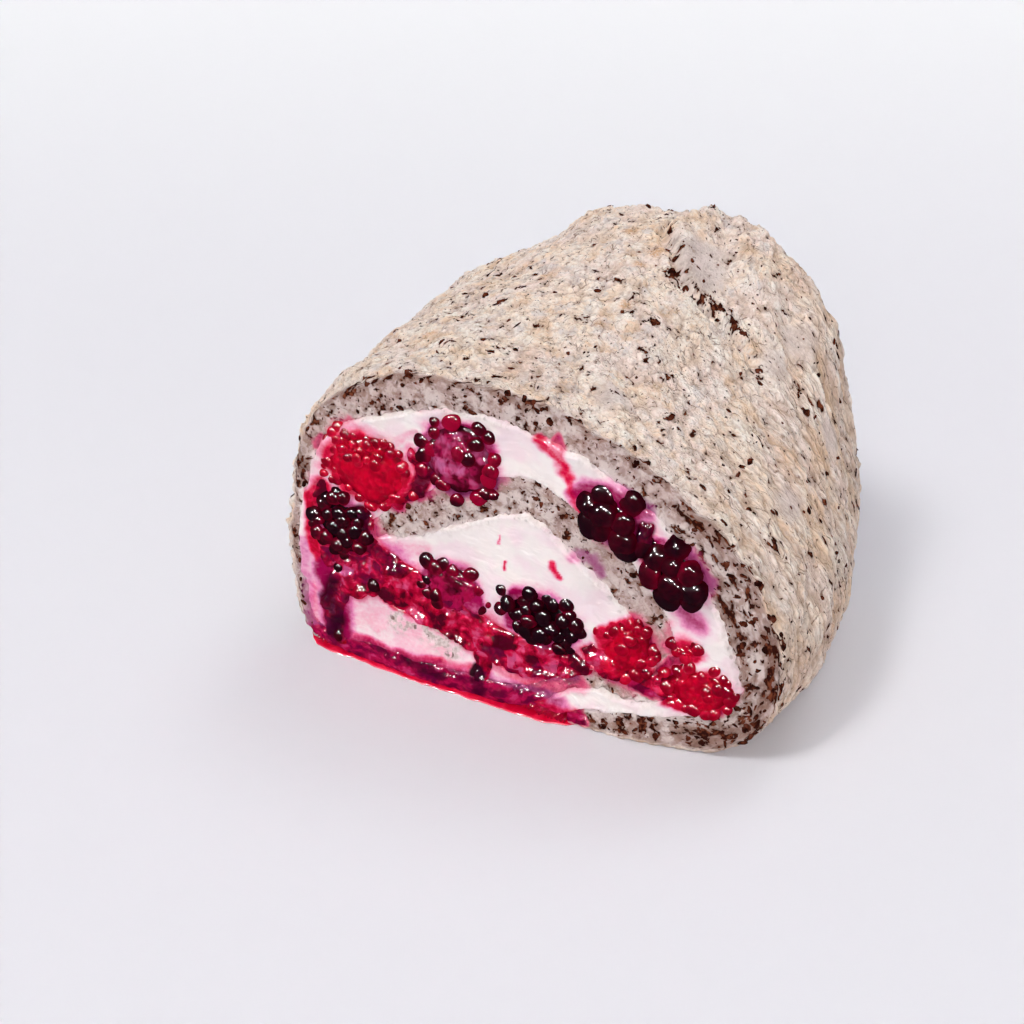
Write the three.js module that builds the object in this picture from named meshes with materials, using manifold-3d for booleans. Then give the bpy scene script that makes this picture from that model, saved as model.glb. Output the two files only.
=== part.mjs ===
// A thick slice of pavlova roulade: one sheet of soft meringue, flecked with chocolate, rolled round
// whipped cream, crushed berries and whole berries. Millimetres, +Z up. The slice stands on its seam
// at z = 0. X runs across the cuts and Y along the roll: one cut faces -Y, the other +Y.
import * as THREE from "three";
import { mergeVertices } from "three/addons/utils/BufferGeometryUtils.js";
import Module from "manifold-3d";

const wasm = await Module();
wasm.setup();

// ---- Driving dimensions ----
const LENGTH = 58; // along the roll, from cut to cut
const GAP = 0.34; // air left between neighbouring pieces
const SLUMP = 0.05; // share of its height that the low shoulder loses towards the back
const RISE = 0.235; // share of its height that the crown gains towards the back
const NARROW = 6; // how far the steep side stands in at the back
const BELLY = 5.6; // how far the steep side bulges half way along
const BELLY_HEIGHT = 22; // height of the fullest part of that bulge
const BELLY_REACH = 40; // how far above and below it the bulge fades out
const HALF_WIDTH = 45; // half of the width across the front cut

const FOLD_HEIGHT = 3.2; // step where the crust folds over itself on the crown
const FOLD_X = 10.5; // where the fold leaves the back cut
const FOLD_SLANT = 0.55; // how fast the fold wanders across as it comes forward
const FOLD_WIDTH = 5; // how wide the step of the fold is
const CRUST_LUMP = 0.4; // height of the broad lumps on the crust

const BERRY_SINK = 0.58; // how deep a berry's middle sits behind its cut, as a share of its half length

// The sheet's middle line on the front cut, from the outer end under the roll, round the outside and
// in to the free end at the heart of the roll: x, z and the thickness there.
const SHEET_LINE = [
  [9.0, 1.4, 2.9], [14, 2.2, 4.6], [20, 2.8, 5.8], [27.5, 3.5, 7.2], [35.4, 5.8, 8.0], [41.3, 14, 7.6],
  [40.5, 26, 8.0], [35, 37.5, 7.6], [25, 47, 7.2], [11, 54.6, 7.3], [-4, 57.8, 7.0], [-18, 57, 7.4],
  [-30, 52.8, 7.6], [-39.4, 44, 6.2], [-42.6, 28, 4.8], [-42.3, 12, 4.8], [-38.8, 3.5, 5.0],
  [-26, 2.1, 4.4], [-10, 2.1, 4.4], [0, 2.9, 4.2], [7, 7.0, 3.6], [13.5, 10.0, 4.4], [20, 9.9, 5.0],
  [24.6, 11.6, 5.2], [25.8, 16, 5.4], [22, 24.5, 6.8], [12, 34.8, 8.2], [0, 41.6, 7.6], [-12, 37.4, 8.2],
  [-22, 31.4, 7.2], [-28.6, 27.2, 3.6],
];
const SHEET_STEPS = 72;
const OUTER_TURN = 19 / (SHEET_LINE.length - 1); // share of the line that wraps the outside
const CORE_STEPS = 40;

// The crushed berries: a band that fills the low side and runs on under the heart of the roll.
const CRUSHED_LINE = [
  [-35.8, 3.6, 3.0], [-36.4, 10.5, 4.2], [-34.2, 16.4, 5.8], [-27.5, 17.4, 7.4], [-17, 14.8, 8.4],
  [-6, 12, 7.2], [3, 11.0, 5.0], [9, 12.6, 2.6],
];
const CRUSHED_STEPS = 16;

const STATIONS = [0, 0.18, 0.4, 0.62, 0.83, 1]; // shares of the length where sections are laid

// Whole berries: name, kind, cut it shows at, middle (x, z as on the front cut), half width, half
// height as seen on the cut, half length along the roll, and tilt in the plane of the cut in degrees.
const BERRIES = [
  ["raspberry_1", "raspberry", -1, -29.8, 39.2, 8.0, 6.6, 5.8, -8],
  ["raspberry_2", "raspberry", -1, 18.0, 17.2, 4.6, 5.6, 5.2, -25],
  ["raspberry_3", "raspberry", -1, 31.0, 13.0, 6.2, 4.2, 5.2, 14],
  ["raspberry_4", "raspberry", -1, 28.4, 20.4, 2.6, 1.6, 3.0, 8],
  ["bramble_1", "bramble", -1, -12.7, 45.6, 6.8, 7.0, 5.8, 20],
  ["bramble_2", "bramble", -1, 15.0, 41.6, 5.4, 4.6, 5.4, -38],
  ["bramble_3", "bramble", -1, 25.8, 34.8, 5.4, 4.8, 5.4, -38],
  ["bramble_4", "bramble", -1, -13.8, 19.8, 6.0, 4.6, 5.2, 0],
  ["bramble_5", "bramble", -1, 2.8, 19.0, 7.2, 5.4, 5.6, -18],
  ["bramble_6", "bramble", -1, -35.4, 26.6, 3.8, 4.6, 4.6, 0],
  ["back_raspberry_1", "raspberry", 1, -7.0, 49.4, 7.4, 3.9, 5.8, -4],
  ["back_raspberry_2", "raspberry", 1, 32.0, 22.0, 4.2, 6.6, 5.2, 4],
  ["back_raspberry_3", "raspberry", 1, -21.0, 22.6, 6.0, 3.8, 5.2, -10],
  ["back_bramble_1", "bramble", 1, -28.8, 41.0, 7.6, 6.0, 5.8, 6],
  ["back_bramble_2", "bramble", 1, 19.6, 39.4, 8.4, 4.2, 5.6, -43],
  ["back_bramble_3", "bramble", 1, 5.2, 19.4, 7.6, 5.6, 5.6, -14],
];
// How far from a berry's middle its skin dips to between drupelets, as a share of its size.
const DRUPELET_DIP = { raspberry: 0.84, bramble: 0.8 };

// Colour and roughness of each finish.
const FINISHES = {
  meringue: [0xd8c4b2, 0.85], cream: [0xf7efec, 0.45], crushed: [0xa01540, 0.25],
  raspberry: [0xb8122e, 0.3], bramble: [0x4a0f22, 0.2],
};

const smooth = (t) => THREE.MathUtils.smoothstep(t, 0, 1);

// ---- Form of the roll ----

// Where a point of the front section lies at depth y: the low shoulder slumps, the crown rises and
// the steep side first bellies out and then stands in.
function settle(x, z, y) {
  const back = smooth(y / LENGTH + 0.5);
  const side = smooth(x / HALF_WIDTH);
  const lift = back * (RISE * smooth((x + 35) / HALF_WIDTH) - SLUMP);
  const bulge = BELLY * Math.sin(Math.PI * (y / LENGTH + 0.5));
  const belly = bulge * smooth(1 - Math.abs(z - BELLY_HEIGHT) / BELLY_REACH);
  return [x + side * (belly - back * NARROW), z * (1 + lift)];
}

// Outward offset of the crust: broad lumps, and the fold that steps up across the crown.
function crustRelief(share, x, z, y) {
  if (share > OUTER_TURN) return 0;
  const lumps = Math.sin(0.31 * x + 0.17 * y) * Math.sin(0.23 * y - 0.19 * z)
    + 0.6 * Math.sin(0.47 * (x - z) + 0.4 * y);
  const across = smooth((x - FOLD_X - FOLD_SLANT * (LENGTH / 2 - y)) / FOLD_WIDTH + 0.5);
  const fold = across * smooth((y - 2) / 20) * smooth((z - 31) / 14);
  return (CRUST_LUMP * lumps + FOLD_HEIGHT * fold) * smooth((z - 6) / 10);
}

// ---- Solids ----

// Corner positions and triangle indices as a solid.
function solidOf(positions, indices) {
  const geometry = new THREE.BufferGeometry();
  geometry.setAttribute("position", new THREE.Float32BufferAttribute(positions, 3));
  geometry.setIndex(indices);
  const merged = mergeVertices(geometry, 1e-4);
  const vertProperties = merged.attributes.position.array;
  const triVerts = new Uint32Array(merged.index.array);
  return new wasm.Manifold(new wasm.Mesh({ numProp: 3, vertProperties, triVerts }));
}

// A smooth line through rows of [x, z, thickness].
function lineThrough(rows) {
  const points = rows.map((row) => new THREE.Vector3(...row));
  return new THREE.CatmullRomCurve3(points, false, "catmullrom", 0.5);
}

// A band of varying thickness that follows a line and runs the whole length of the roll.
function band(rows, steps, { grow = 0, overrun = 0, relief = () => 0 } = {}) {
  const middle = lineThrough(rows).getPoints(steps);
  const positions = [];
  for (const station of STATIONS) {
    const y = (station - 0.5) * (LENGTH + 2 * overrun);
    for (const side of [1, -1]) {
      middle.forEach((point, i) => {
        const ahead = middle[Math.min(i + 1, steps)];
        const behind = middle[Math.max(i - 1, 0)];
        const along = new THREE.Vector2(ahead.x - behind.x, ahead.y - behind.y).normalize();
        const past = i === 0 ? -grow : grow * (i === steps);
        const raised = side === 1 ? relief(i / steps, point.x, point.y, y) : 0;
        const half = side * (point.z / 2 + grow + raised);
        const edgeX = point.x + half * along.y + past * along.x;
        const edgeZ = point.y - half * along.x + past * along.y;
        const [x, z] = settle(edgeX, edgeZ, y);
        positions.push(x, y, Math.max(z, -grow));
      });
    }
  }
  const row = steps + 1;
  const last = STATIONS.length - 1;
  const at = (station, side, i) => (station * 2 + side) * row + i;
  const indices = [];
  const quad = (a, b, c, d) => indices.push(a, c, b, a, d, c);
  for (let k = 0; k < last; k++) {
    for (let i = 0; i < steps; i++) {
      quad(at(k, 0, i), at(k, 0, i + 1), at(k + 1, 0, i + 1), at(k + 1, 0, i));
      quad(at(k, 1, i), at(k + 1, 1, i), at(k + 1, 1, i + 1), at(k, 1, i + 1));
    }
    quad(at(k, 0, 0), at(k + 1, 0, 0), at(k + 1, 1, 0), at(k, 1, 0));
    quad(at(k, 0, steps), at(k, 1, steps), at(k + 1, 1, steps), at(k + 1, 0, steps));
  }
  for (let i = 0; i < steps; i++) {
    quad(at(0, 0, i), at(0, 1, i), at(0, 1, i + 1), at(0, 0, i + 1));
    quad(at(last, 0, i), at(last, 0, i + 1), at(last, 1, i + 1), at(last, 1, i));
  }
  return solidOf(positions, indices);
}

// Everything inside the middle line of the outer turn, from cut to cut.
function core() {
  const line = lineThrough(SHEET_LINE);
  const outline = [];
  for (let i = 0; i < CORE_STEPS; i++) outline.push(line.getPoint((OUTER_TURN * i) / (CORE_STEPS - 1)));
  const positions = [];
  for (const station of STATIONS) {
    const y = (station - 0.5) * LENGTH;
    for (const point of outline) {
      const [x, z] = settle(point.x, point.y, y);
      positions.push(x, y, z);
    }
  }
  const last = (STATIONS.length - 1) * CORE_STEPS;
  const indices = [];
  for (let k = 0; k < last; k += CORE_STEPS) {
    for (let i = 0; i < CORE_STEPS; i++) {
      const j = (i + 1) % CORE_STEPS;
      indices.push(k + i, k + CORE_STEPS + j, k + j, k + i, k + CORE_STEPS + i, k + CORE_STEPS + j);
    }
  }
  const flat = outline.map((point) => new THREE.Vector2(point.x, point.y));
  for (const [a, b, c] of THREE.ShapeUtils.triangulateShape(flat, [])) {
    indices.push(a, b, c, last + a, last + c, last + b);
  }
  return solidOf(positions, indices);
}

// Adds a corner over the middle of each face of a ball, at that radius.
function poke({ points, indices }, radius) {
  const poked = { points: [...points], indices: [] };
  for (let f = 0; f < indices.length; f += 3) {
    const [a, b, c] = indices.slice(f, f + 3);
    const middle = points[a].clone().add(points[b]).add(points[c]).setLength(radius);
    const m = poked.points.push(middle) - 1;
    poked.indices.push(a, b, m, b, c, m, c, a, m);
  }
  return poked;
}

// A plain ball with a corner at each of 32 drupelets.
function roundBall() {
  const ball = new THREE.IcosahedronGeometry(1, 0);
  ball.deleteAttribute("normal");
  ball.deleteAttribute("uv");
  const merged = mergeVertices(ball, 1e-4);
  const corners = merged.attributes.position;
  const points = [];
  for (let i = 0; i < corners.count; i++) points.push(new THREE.Vector3().fromBufferAttribute(corners, i));
  return poke({ points, indices: Array.from(merged.index.array) }, 1);
}

// One berry from its row; with room set, the plain ball that clears it by that much.
function berry([, kind, cut, x, z, halfWidth, halfHeight, halfLength, tilt], room = 0) {
  const { points, indices } = room > 0 ? roundBall() : poke(roundBall(), DRUPELET_DIP[kind]);
  const swell = 1 / Math.sqrt(1 - BERRY_SINK ** 2);
  const size = new THREE.Vector3(halfWidth * swell + room, halfLength + room, halfHeight * swell + room);
  const y = cut * (LENGTH / 2 - BERRY_SINK * halfLength);
  const [middleX, middleZ] = settle(x, z, y);
  const place = new THREE.Matrix4().makeRotationY(-THREE.MathUtils.degToRad(tilt));
  place.setPosition(middleX, y, middleZ);
  return solidOf(points.flatMap((p) => p.clone().multiply(size).applyMatrix4(place).toArray()), indices);
}

// ---- Pieces ----

const berryRooms = BERRIES.map((row) => berry(row, GAP));
const sheetRoom = band(SHEET_LINE, SHEET_STEPS, { grow: GAP, overrun: 1 });
const crushedRoom = band(CRUSHED_LINE, CRUSHED_STEPS, { grow: GAP, overrun: 1 });

// A solid less its cutters, as its bodies from the largest down.
function carve(solid, cutters) {
  const carved = cutters.reduce((left, cutter) => left.subtract(cutter), solid).simplify(GAP / 6);
  return carved.decompose().sort((a, b) => b.volume() - a.volume());
}

const [sheet] = carve(band(SHEET_LINE, SHEET_STEPS, { relief: crustRelief }), berryRooms);
const [crushed] = carve(band(CRUSHED_LINE, CRUSHED_STEPS), [sheetRoom, ...berryRooms]);
const [filling] = carve(core(), [sheetRoom, crushedRoom, ...berryRooms]);

const slice = new THREE.Group();

function addPiece(name, finish, solid) {
  const { numProp, vertProperties, triVerts } = solid.getMesh();
  const corners = vertProperties.filter((_, i) => i % numProp < 3);
  const geometry = new THREE.BufferGeometry();
  geometry.setAttribute("position", new THREE.BufferAttribute(corners, 3));
  geometry.setIndex(new THREE.BufferAttribute(triVerts, 1));
  geometry.computeVertexNormals();
  const [color, roughness] = FINISHES[finish];
  const mesh = new THREE.Mesh(geometry, new THREE.MeshStandardMaterial({ color, roughness, metalness: 0 }));
  mesh.name = name;
  slice.add(mesh);
}

addPiece("meringue_sheet", "meringue", sheet);
addPiece("crushed_berries", "crushed", crushed);
addPiece("cream_filling", "cream", filling);
for (const row of BERRIES) addPiece(row[0], row[1], berry(row));

// The origin is the middle of the bounding box's base.
const box = new THREE.Box3().setFromObject(slice);
const middle = box.getCenter(new THREE.Vector3());
slice.position.set(-middle.x, -middle.y, -box.min.z);
slice.updateMatrixWorld(true);

export default slice;
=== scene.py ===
"""A thick slice of pavlova roulade: meringue rolled round cream, crushed and whole berries.

Sizes are in millimetres while a piece is drafted and in metres once it is a mesh. X runs
across the cuts, Y along the roll and Z up, as in the frame.
"""
import logging
import math
from dataclasses import dataclass, field
from enum import Enum
from typing import Any, Callable, Sequence

import bpy
import numpy as np
from mathutils import Matrix, Vector


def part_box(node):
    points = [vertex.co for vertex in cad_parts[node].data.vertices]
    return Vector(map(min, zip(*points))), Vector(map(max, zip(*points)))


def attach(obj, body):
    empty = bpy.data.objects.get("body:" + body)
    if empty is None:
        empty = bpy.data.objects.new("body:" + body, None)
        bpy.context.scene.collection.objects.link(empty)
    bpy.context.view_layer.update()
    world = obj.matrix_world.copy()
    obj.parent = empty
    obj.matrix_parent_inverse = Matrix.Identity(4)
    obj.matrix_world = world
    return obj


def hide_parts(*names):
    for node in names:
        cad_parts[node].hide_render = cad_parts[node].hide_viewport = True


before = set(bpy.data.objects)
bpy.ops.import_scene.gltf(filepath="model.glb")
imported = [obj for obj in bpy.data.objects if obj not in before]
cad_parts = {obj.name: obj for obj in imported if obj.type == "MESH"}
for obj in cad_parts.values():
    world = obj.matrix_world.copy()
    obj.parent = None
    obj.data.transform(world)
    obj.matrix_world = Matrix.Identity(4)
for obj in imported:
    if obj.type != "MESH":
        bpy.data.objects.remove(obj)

log = logging.getLogger("pavlova")
Array = np.ndarray
Rows = tuple[tuple[float, ...], ...]
Colour = tuple[float, float, float, float]
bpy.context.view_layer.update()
MM = 0.001
GOLDEN_ANGLE = 2.39996


# ---- Numbers ----


def smooth(t: Any) -> Any:
    """Smooth step from 0 at t = 0 to 1 at t = 1."""
    t = np.clip(t, 0.0, 1.0)
    return t * t * (3.0 - 2.0 * t)


def rgb(red: float, green: float, blue: float) -> Colour:
    """Linear colour from display values of 0 to 255."""
    shares = (value / 255 for value in (red, green, blue))
    return (*(((v + 0.055) / 1.055) ** 2.4 if v > 0.0404 else v / 12.92 for v in shares), 1.0)


class Ripple:
    """Seeded smooth noise from -1 to 1 over points in space."""

    def __init__(self, seed: int, size: int = 32) -> None:
        """Draws the lattice for a seed."""
        self.size = size
        self.lattice = np.random.default_rng(seed).uniform(-1.0, 1.0, (size, size, size))

    def __call__(self, a: Array, b: Array, c: Any = 0.0, octaves: int = 1) -> Array:
        """Noise at points (a, b, c), with finer layers added.

        Args:
            a: First coordinate, one unit to a bump.
            b: Second coordinate.
            c: Third coordinate.
            octaves: Number of layers, each half the size and half the height of the one before.

        Returns:
            The noise at each point.
        """
        total, height = 0.0, 1.0
        for layer in range(octaves):
            fine = 2**layer
            total = total + height * self._layer(a * fine, b * fine, (c + 7.3 * layer) * fine)
            height *= 0.5
        return total

    def _layer(self, a: Array, b: Array, c: Array) -> Array:
        """One layer of noise at points (a, b, c).

        Args:
            a: First coordinate.
            b: Second coordinate.
            c: Third coordinate.

        Returns:
            The noise at each point.
        """
        points = np.stack(np.broadcast_arrays(a, b, c), -1)
        cell = np.floor(points).astype(int)
        part = smooth(points - cell)
        value = 0.0
        for corner in range(8):
            step = np.array([corner & 1, corner >> 1 & 1, corner >> 2 & 1])
            i, j, k = np.moveaxis((cell + step) % self.size, -1, 0)
            weight = np.prod(np.where(step == 1, part, 1.0 - part), -1)
            value = value + weight * self.lattice[i, j, k]
        return value


def polyline_gap(x: Array, z: Array, rows: Array, radius: Array) -> Array:
    """Distance from points to a run of discs.

    Args:
        x: Points across the cut.
        z: Points up the cut.
        rows: Middles of the discs, one row each.
        radius: Radius of each disc.

    Returns:
        Distance outside the nearest disc, negative inside.
    """
    flat = np.stack([np.ravel(x), np.ravel(z)], 1)
    gap = np.empty(len(flat))
    for start in range(0, len(flat), 4096):
        part = flat[start : start + 4096, None, :] - rows[None, :, :]
        gap[start : start + 4096] = (np.hypot(part[..., 0], part[..., 1]) - radius[None, :]).min(1)
    return gap.reshape(np.shape(x))


def cell_quads(number: Array) -> Array:
    """Corner numbers of each cell of a grid of numbered corners."""
    return np.stack([number[:-1, :-1], number[1:, :-1], number[1:, 1:], number[:-1, 1:]], -1)


# ---- Form of the roll ----


@dataclass(frozen=True)
class RollForm:
    """Shape of the roll: the sheet's path on the front cut, and how it changes to the back."""

    length: float = 58.0
    slump: float = 0.05
    rise: float = 0.235
    narrow: float = 6.0
    belly: float = 5.6
    belly_height: float = 22.0
    belly_reach: float = 40.0
    half_width: float = 45.0
    fold_height: float = 3.2
    fold_x: float = 10.5
    fold_slant: float = 0.55
    fold_width: float = 5.0
    lump: float = 0.4
    outer_turn: float = 19 / 30
    shift: float = 0.0
    sheet: Rows = (
        (9.0, 1.4, 2.9), (14, 2.2, 4.6), (20, 2.8, 5.8), (27.5, 3.5, 7.2), (35.4, 5.8, 8.0),
        (41.3, 14, 7.6), (40.5, 26, 8.0), (35, 37.5, 7.6), (25, 47, 7.2), (11, 54.6, 7.3),
        (-4, 57.8, 7.0), (-18, 57, 7.4), (-30, 52.8, 7.6), (-39.4, 44, 6.2), (-42.6, 28, 4.8),
        (-42.3, 12, 4.8), (-38.8, 3.5, 5.0), (-26, 2.1, 4.4), (-10, 2.1, 4.4), (0, 2.9, 4.2),
        (7, 7.0, 3.6), (13.5, 10.0, 4.4), (20, 9.9, 5.0), (24.6, 11.6, 5.2), (25.8, 16, 5.4),
        (22, 24.5, 6.8), (12, 34.8, 8.2), (0, 41.6, 7.6), (-12, 37.4, 8.2), (-22, 31.4, 7.2),
        (-28.6, 27.2, 3.6),
    )
    trim: Rows = (
        (0, 0), (4, 0), (5, -0.7), (6, 1.7), (7, 2.1), (8, 0.8), (9, 0), (12, 0), (13, -1.0),
        (14, -2.0), (15, -1.9), (16, -1.2), (17, 0), (30, 0),
    )
    crushed: Rows = (
        (-35.8, 3.6, 3.0), (-36.4, 10.5, 4.2), (-34.2, 16.4, 5.8), (-27.5, 17.4, 7.4),
        (-17, 14.8, 8.4), (-6, 12, 7.2), (3, 11.0, 5.0), (9, 12.6, 2.6),
    )

    def settle(self, x: Array, z: Array, y: Array) -> tuple[Array, Array]:
        """Where points of the front section lie further back.

        Args:
            x: Points across the front section.
            z: Points up the front section.
            y: Depth of each point.

        Returns:
            Their places across and up at that depth.
        """
        back = smooth(y / self.length + 0.5)
        side = smooth(x / self.half_width)
        lift = back * (self.rise * smooth((x + 35) / self.half_width) - self.slump)
        bulge = self.belly * np.sin(math.pi * np.clip(y / self.length + 0.5, 0, 1))
        belly = bulge * smooth(1 - np.abs(z - self.belly_height) / self.belly_reach)
        return x + side * (belly - back * self.narrow), z * (1 + lift)

    def step_up(self, x: Array, y: Array) -> Array:
        """How far up the crown's fold points lie, from 0 below it to 1 on top."""
        line = self.fold_x + self.fold_slant * (self.length / 2 - y)
        return smooth((x - line) / self.fold_width + 0.5)

    def swell(self, x: Array, z: Array, y: Array) -> Array:
        """Outward offset of the crust: broad lumps, and the fold that steps up on the crown.

        Args:
            x: Points across the front section.
            z: Points up the front section.
            y: Depth of each point.

        Returns:
            The offset of each point.
        """
        lumps = (
            np.sin(0.31 * x + 0.17 * y) * np.sin(0.23 * y - 0.19 * z)
            + 0.6 * np.sin(0.47 * (x - z) + 0.4 * y)
        )
        fold = self.step_up(x, y) * smooth((y - 2) / 20) * smooth((z - 31) / 14)
        return (self.lump * lumps + self.fold_height * fold) * smooth((z - 6) / 10)

    def path(
        self, rows: Rows, step: float, first: float = 0.0, last: float = 1.0
    ) -> dict[str, Array]:
        """Evenly spaced points along a smooth line.

        Args:
            rows: Rows of x, z and thickness that the line passes through.
            step: Distance from point to point.
            first: Share of the line to start at.
            last: Share of the line to end at.

        Returns:
            Arrays by name: middle (x, z), half (half thickness), outward (unit x, z), share
            and arc.
        """
        points = np.array(rows, float)
        ends = np.vstack([2 * points[0] - points[1], points, 2 * points[-1] - points[-2]])
        share = np.linspace(first, last, 4000)
        place = share * (len(points) - 1)
        part = np.minimum(place.astype(int), len(points) - 2)
        t = (place - part)[:, None]
        a, b, c, d = (ends[part + k] for k in range(4))
        m, n = (c - a) / 2, (d - b) / 2
        fine = b + m * t + (3 * (c - b) - 2 * m - n) * t**2 + (2 * (b - c) + m + n) * t**3
        arc = np.concatenate([[0], np.cumsum(np.hypot(*np.diff(fine[:, :2], axis=0).T))])
        at = np.linspace(0, arc[-1], max(int(round(arc[-1] / step)), 4) + 1)
        columns = [np.interp(at, arc, fine[:, k]) for k in range(3)]
        along = np.stack([np.gradient(columns[0]), np.gradient(columns[1])], 1)
        along /= np.linalg.norm(along, axis=1, keepdims=True)
        share = np.interp(at, arc, share)
        outward = np.stack([along[:, 1], -along[:, 0]], 1)
        table = np.array(self.trim if rows is self.sheet else ((0, 0), (1, 0)), float)
        trim = np.interp(share * (len(points) - 1), table[:, 0], table[:, 1])
        middle = np.stack(columns[:2], 1) - outward * trim[:, None] / 2
        half = (columns[2] + trim) / 2
        return {"middle": middle, "half": half, "share": share, "outward": outward, "arc": at}

    def metres(self, x: Array, y: Array, z: Array) -> Array:
        """Points in the frame, in metres, one row each."""
        stacked = np.stack(np.broadcast_arrays(x + self.shift, y, z), -1)
        return stacked.reshape(-1, 3) * MM


# ---- Berries and stains, by cut ----


class Kind(Enum):
    """Kind of whole berry."""

    RASPBERRY = "raspberry"
    BRAMBLE = "bramble"


class Dye(Enum):
    """Juice that colours what it touches."""

    RED = 0
    VIOLET = 1
    DARK = 2


@dataclass(frozen=True)
class Berry:
    """One whole berry that shows at a cut."""

    node: str
    kind: Kind
    x: float
    z: float
    half_width: float
    half_height: float
    half_length: float
    tilt: float
    bead: float = 1.4
    proud: float = 0.4
    bare: float = 2.0
    seed: int = 1
    tone: float = 0.0
    pulp: float = 0.0
    tuft: tuple[float, float, float] = (0.0, 0.0, 0.0)

    def gap(self, x: Array, z: Array) -> Array:
        """Rough distance of points outside the berry's outline.

        Args:
            x: Points across the cut.
            z: Points up the cut.

        Returns:
            The distance, negative inside.
        """
        turn = math.radians(self.tilt)
        u = (x - self.x) * math.cos(turn) + (z - self.z) * math.sin(turn)
        v = (z - self.z) * math.cos(turn) - (x - self.x) * math.sin(turn)
        reach = np.hypot(u / self.half_width, v / self.half_height)
        return (reach - 1) * (self.half_width + self.half_height) / 2


@dataclass(frozen=True)
class Wash:
    """A soft stroke of juice across a cut."""

    dye: Dye
    points: Rows
    width: float
    fade: float = 1.2
    strength: float = 1.0

    def amount(self, x: Array, z: Array) -> Array:
        """Amount of dye at points of the cut, from 0 to strength."""
        return self.strength * smooth(1 - (stroke_gap(x, z, self.points) - self.width) / self.fade)


def stroke_gap(x: Array, z: Array, points: Rows) -> Array:
    """Distance of points from a broken line.

    Args:
        x: Points across the cut.
        z: Points up the cut.
        points: Corners of the line, or one lone point.

    Returns:
        The distance of each point.
    """
    if len(points) == 1:
        return np.hypot(x - points[0][0], z - points[0][1])
    gap = np.full(np.shape(x), 1e6)
    for (ax, az, *_), (bx, bz, *_) in zip(points, points[1:]):
        dx, dz = bx - ax, bz - az
        t = np.clip(((x - ax) * dx + (z - az) * dz) / (dx * dx + dz * dz), 0, 1)
        gap = np.minimum(gap, np.hypot(x - ax - t * dx, z - az - t * dz))
    return gap


@dataclass
class CutFace:
    """What shows on one cut: its berries, its juices and how far each filling stands out of it."""

    side: int
    form: RollForm
    berries: tuple[Berry, ...]
    washes: tuple[Wash, ...]
    pools: tuple[Rows, ...]
    seed: int
    ripple: Ripple = field(init=False)

    def __post_init__(self) -> None:
        """Prepares the noise and the sheet's path."""
        self.ripple = Ripple(self.seed)
        path = self.form.path(self.form.sheet, 0.5)
        self._sheet = (path["middle"], path["half"])
        path = self.form.path(self.form.crushed, 0.5)
        self._crushed = (path["middle"], path["half"])

    def stray(self, x: Array, z: Array, far: float = 0.9) -> tuple[Array, Array]:
        """Points moved about, so that no edge on the cut is even."""
        n = self.ripple
        return (
            x + far * n(x / 3.1, z / 3.1, 0.5, 2) + 0.3 * far * n(x / 0.9, z / 0.9, 3.5),
            z + far * n(x / 3.1, z / 3.1, 9.5, 2) + 0.3 * far * n(x / 0.9, z / 0.9, 13.5),
        )

    def bow(self, x: Array, z: Array) -> Array:
        """How far the cut itself bows out of its plane."""
        foot = 2.1 * np.exp(-((z / 7.5) ** 2)) * smooth((x + 42) / 26) * smooth((34 - x) / 18)
        return foot * (1.0 if self.side < 0 else 0.4) + 0.25 * self.ripple(x / 14, z / 14, 2.2)

    def sheet_gap(self, x: Array, z: Array) -> Array:
        """Distance outside the meringue on the cut."""
        return polyline_gap(x, z, *self._sheet)

    def crushed_gap(self, x: Array, z: Array) -> Array:
        """Distance outside the crushed berries on the cut.

        Args:
            x: Points across the cut.
            z: Points up the cut.

        Returns:
            The distance, negative inside.
        """
        gap = polyline_gap(x, z, *self._crushed)
        for pool in self.pools:
            middles = np.array(pool, float)
            fine = np.linspace(0, len(middles) - 1, 40 * (len(middles) - 1) + 1)
            stops = range(len(middles))
            run = np.stack([np.interp(fine, stops, middles[:, k]) for k in range(3)], 1)
            gap = np.minimum(gap, polyline_gap(x, z, run[:, :2], run[:, 2]))
        return gap

    def berry_gap(self, x: Array, z: Array, kind: Kind | None = None) -> Array:
        """Distance outside the nearest berry of a kind."""
        gaps = [b.gap(x, z) for b in self.berries if kind in (None, b.kind)]
        return np.min(gaps, axis=0) if gaps else np.full(np.shape(x), 99.0)

    def soak(self, x: Array, z: Array) -> Array:
        """How much of each juice has run into the points of the cut.

        Args:
            x: Points across the cut.
            z: Points up the cut.

        Returns:
            One row of red, violet and dark for each point, each from 0 to 1.
        """
        px, pz = self.stray(x, z)
        uneven = 1.0 + 0.6 * self.ripple(x / 4, z / 4, 17.0)
        near = np.clip(self.berry_gap(px, pz, Kind.RASPBERRY), 0, None)
        red = 0.95 * np.exp(-near / (1.1 * uneven))
        near = np.clip(self.berry_gap(px, pz, Kind.BRAMBLE), 0, None)
        violet = 0.85 * np.exp(-near / (0.75 * uneven))
        red = np.maximum(red, 0.5 * np.exp(-near / (1.4 * uneven)))
        near = np.clip(self.crushed_gap(px, pz), 0, None)
        red = np.maximum(red, 0.8 * np.exp(-near / (1.1 * uneven)))
        violet = np.maximum(violet, 0.25 * np.exp(-near / 2.2))
        dyes = [red, violet, np.zeros_like(red)]
        for wash in self.washes:
            dyes[wash.dye.value] = np.maximum(dyes[wash.dye.value], wash.amount(px, pz))
        grain = 1 + 0.15 * self.ripple(x / 2.2, z / 2.2, 21.0)
        return np.clip(np.stack(dyes, -1) * grain[..., None], 0, 1)


# ---- Mesh drafts ----


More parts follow.
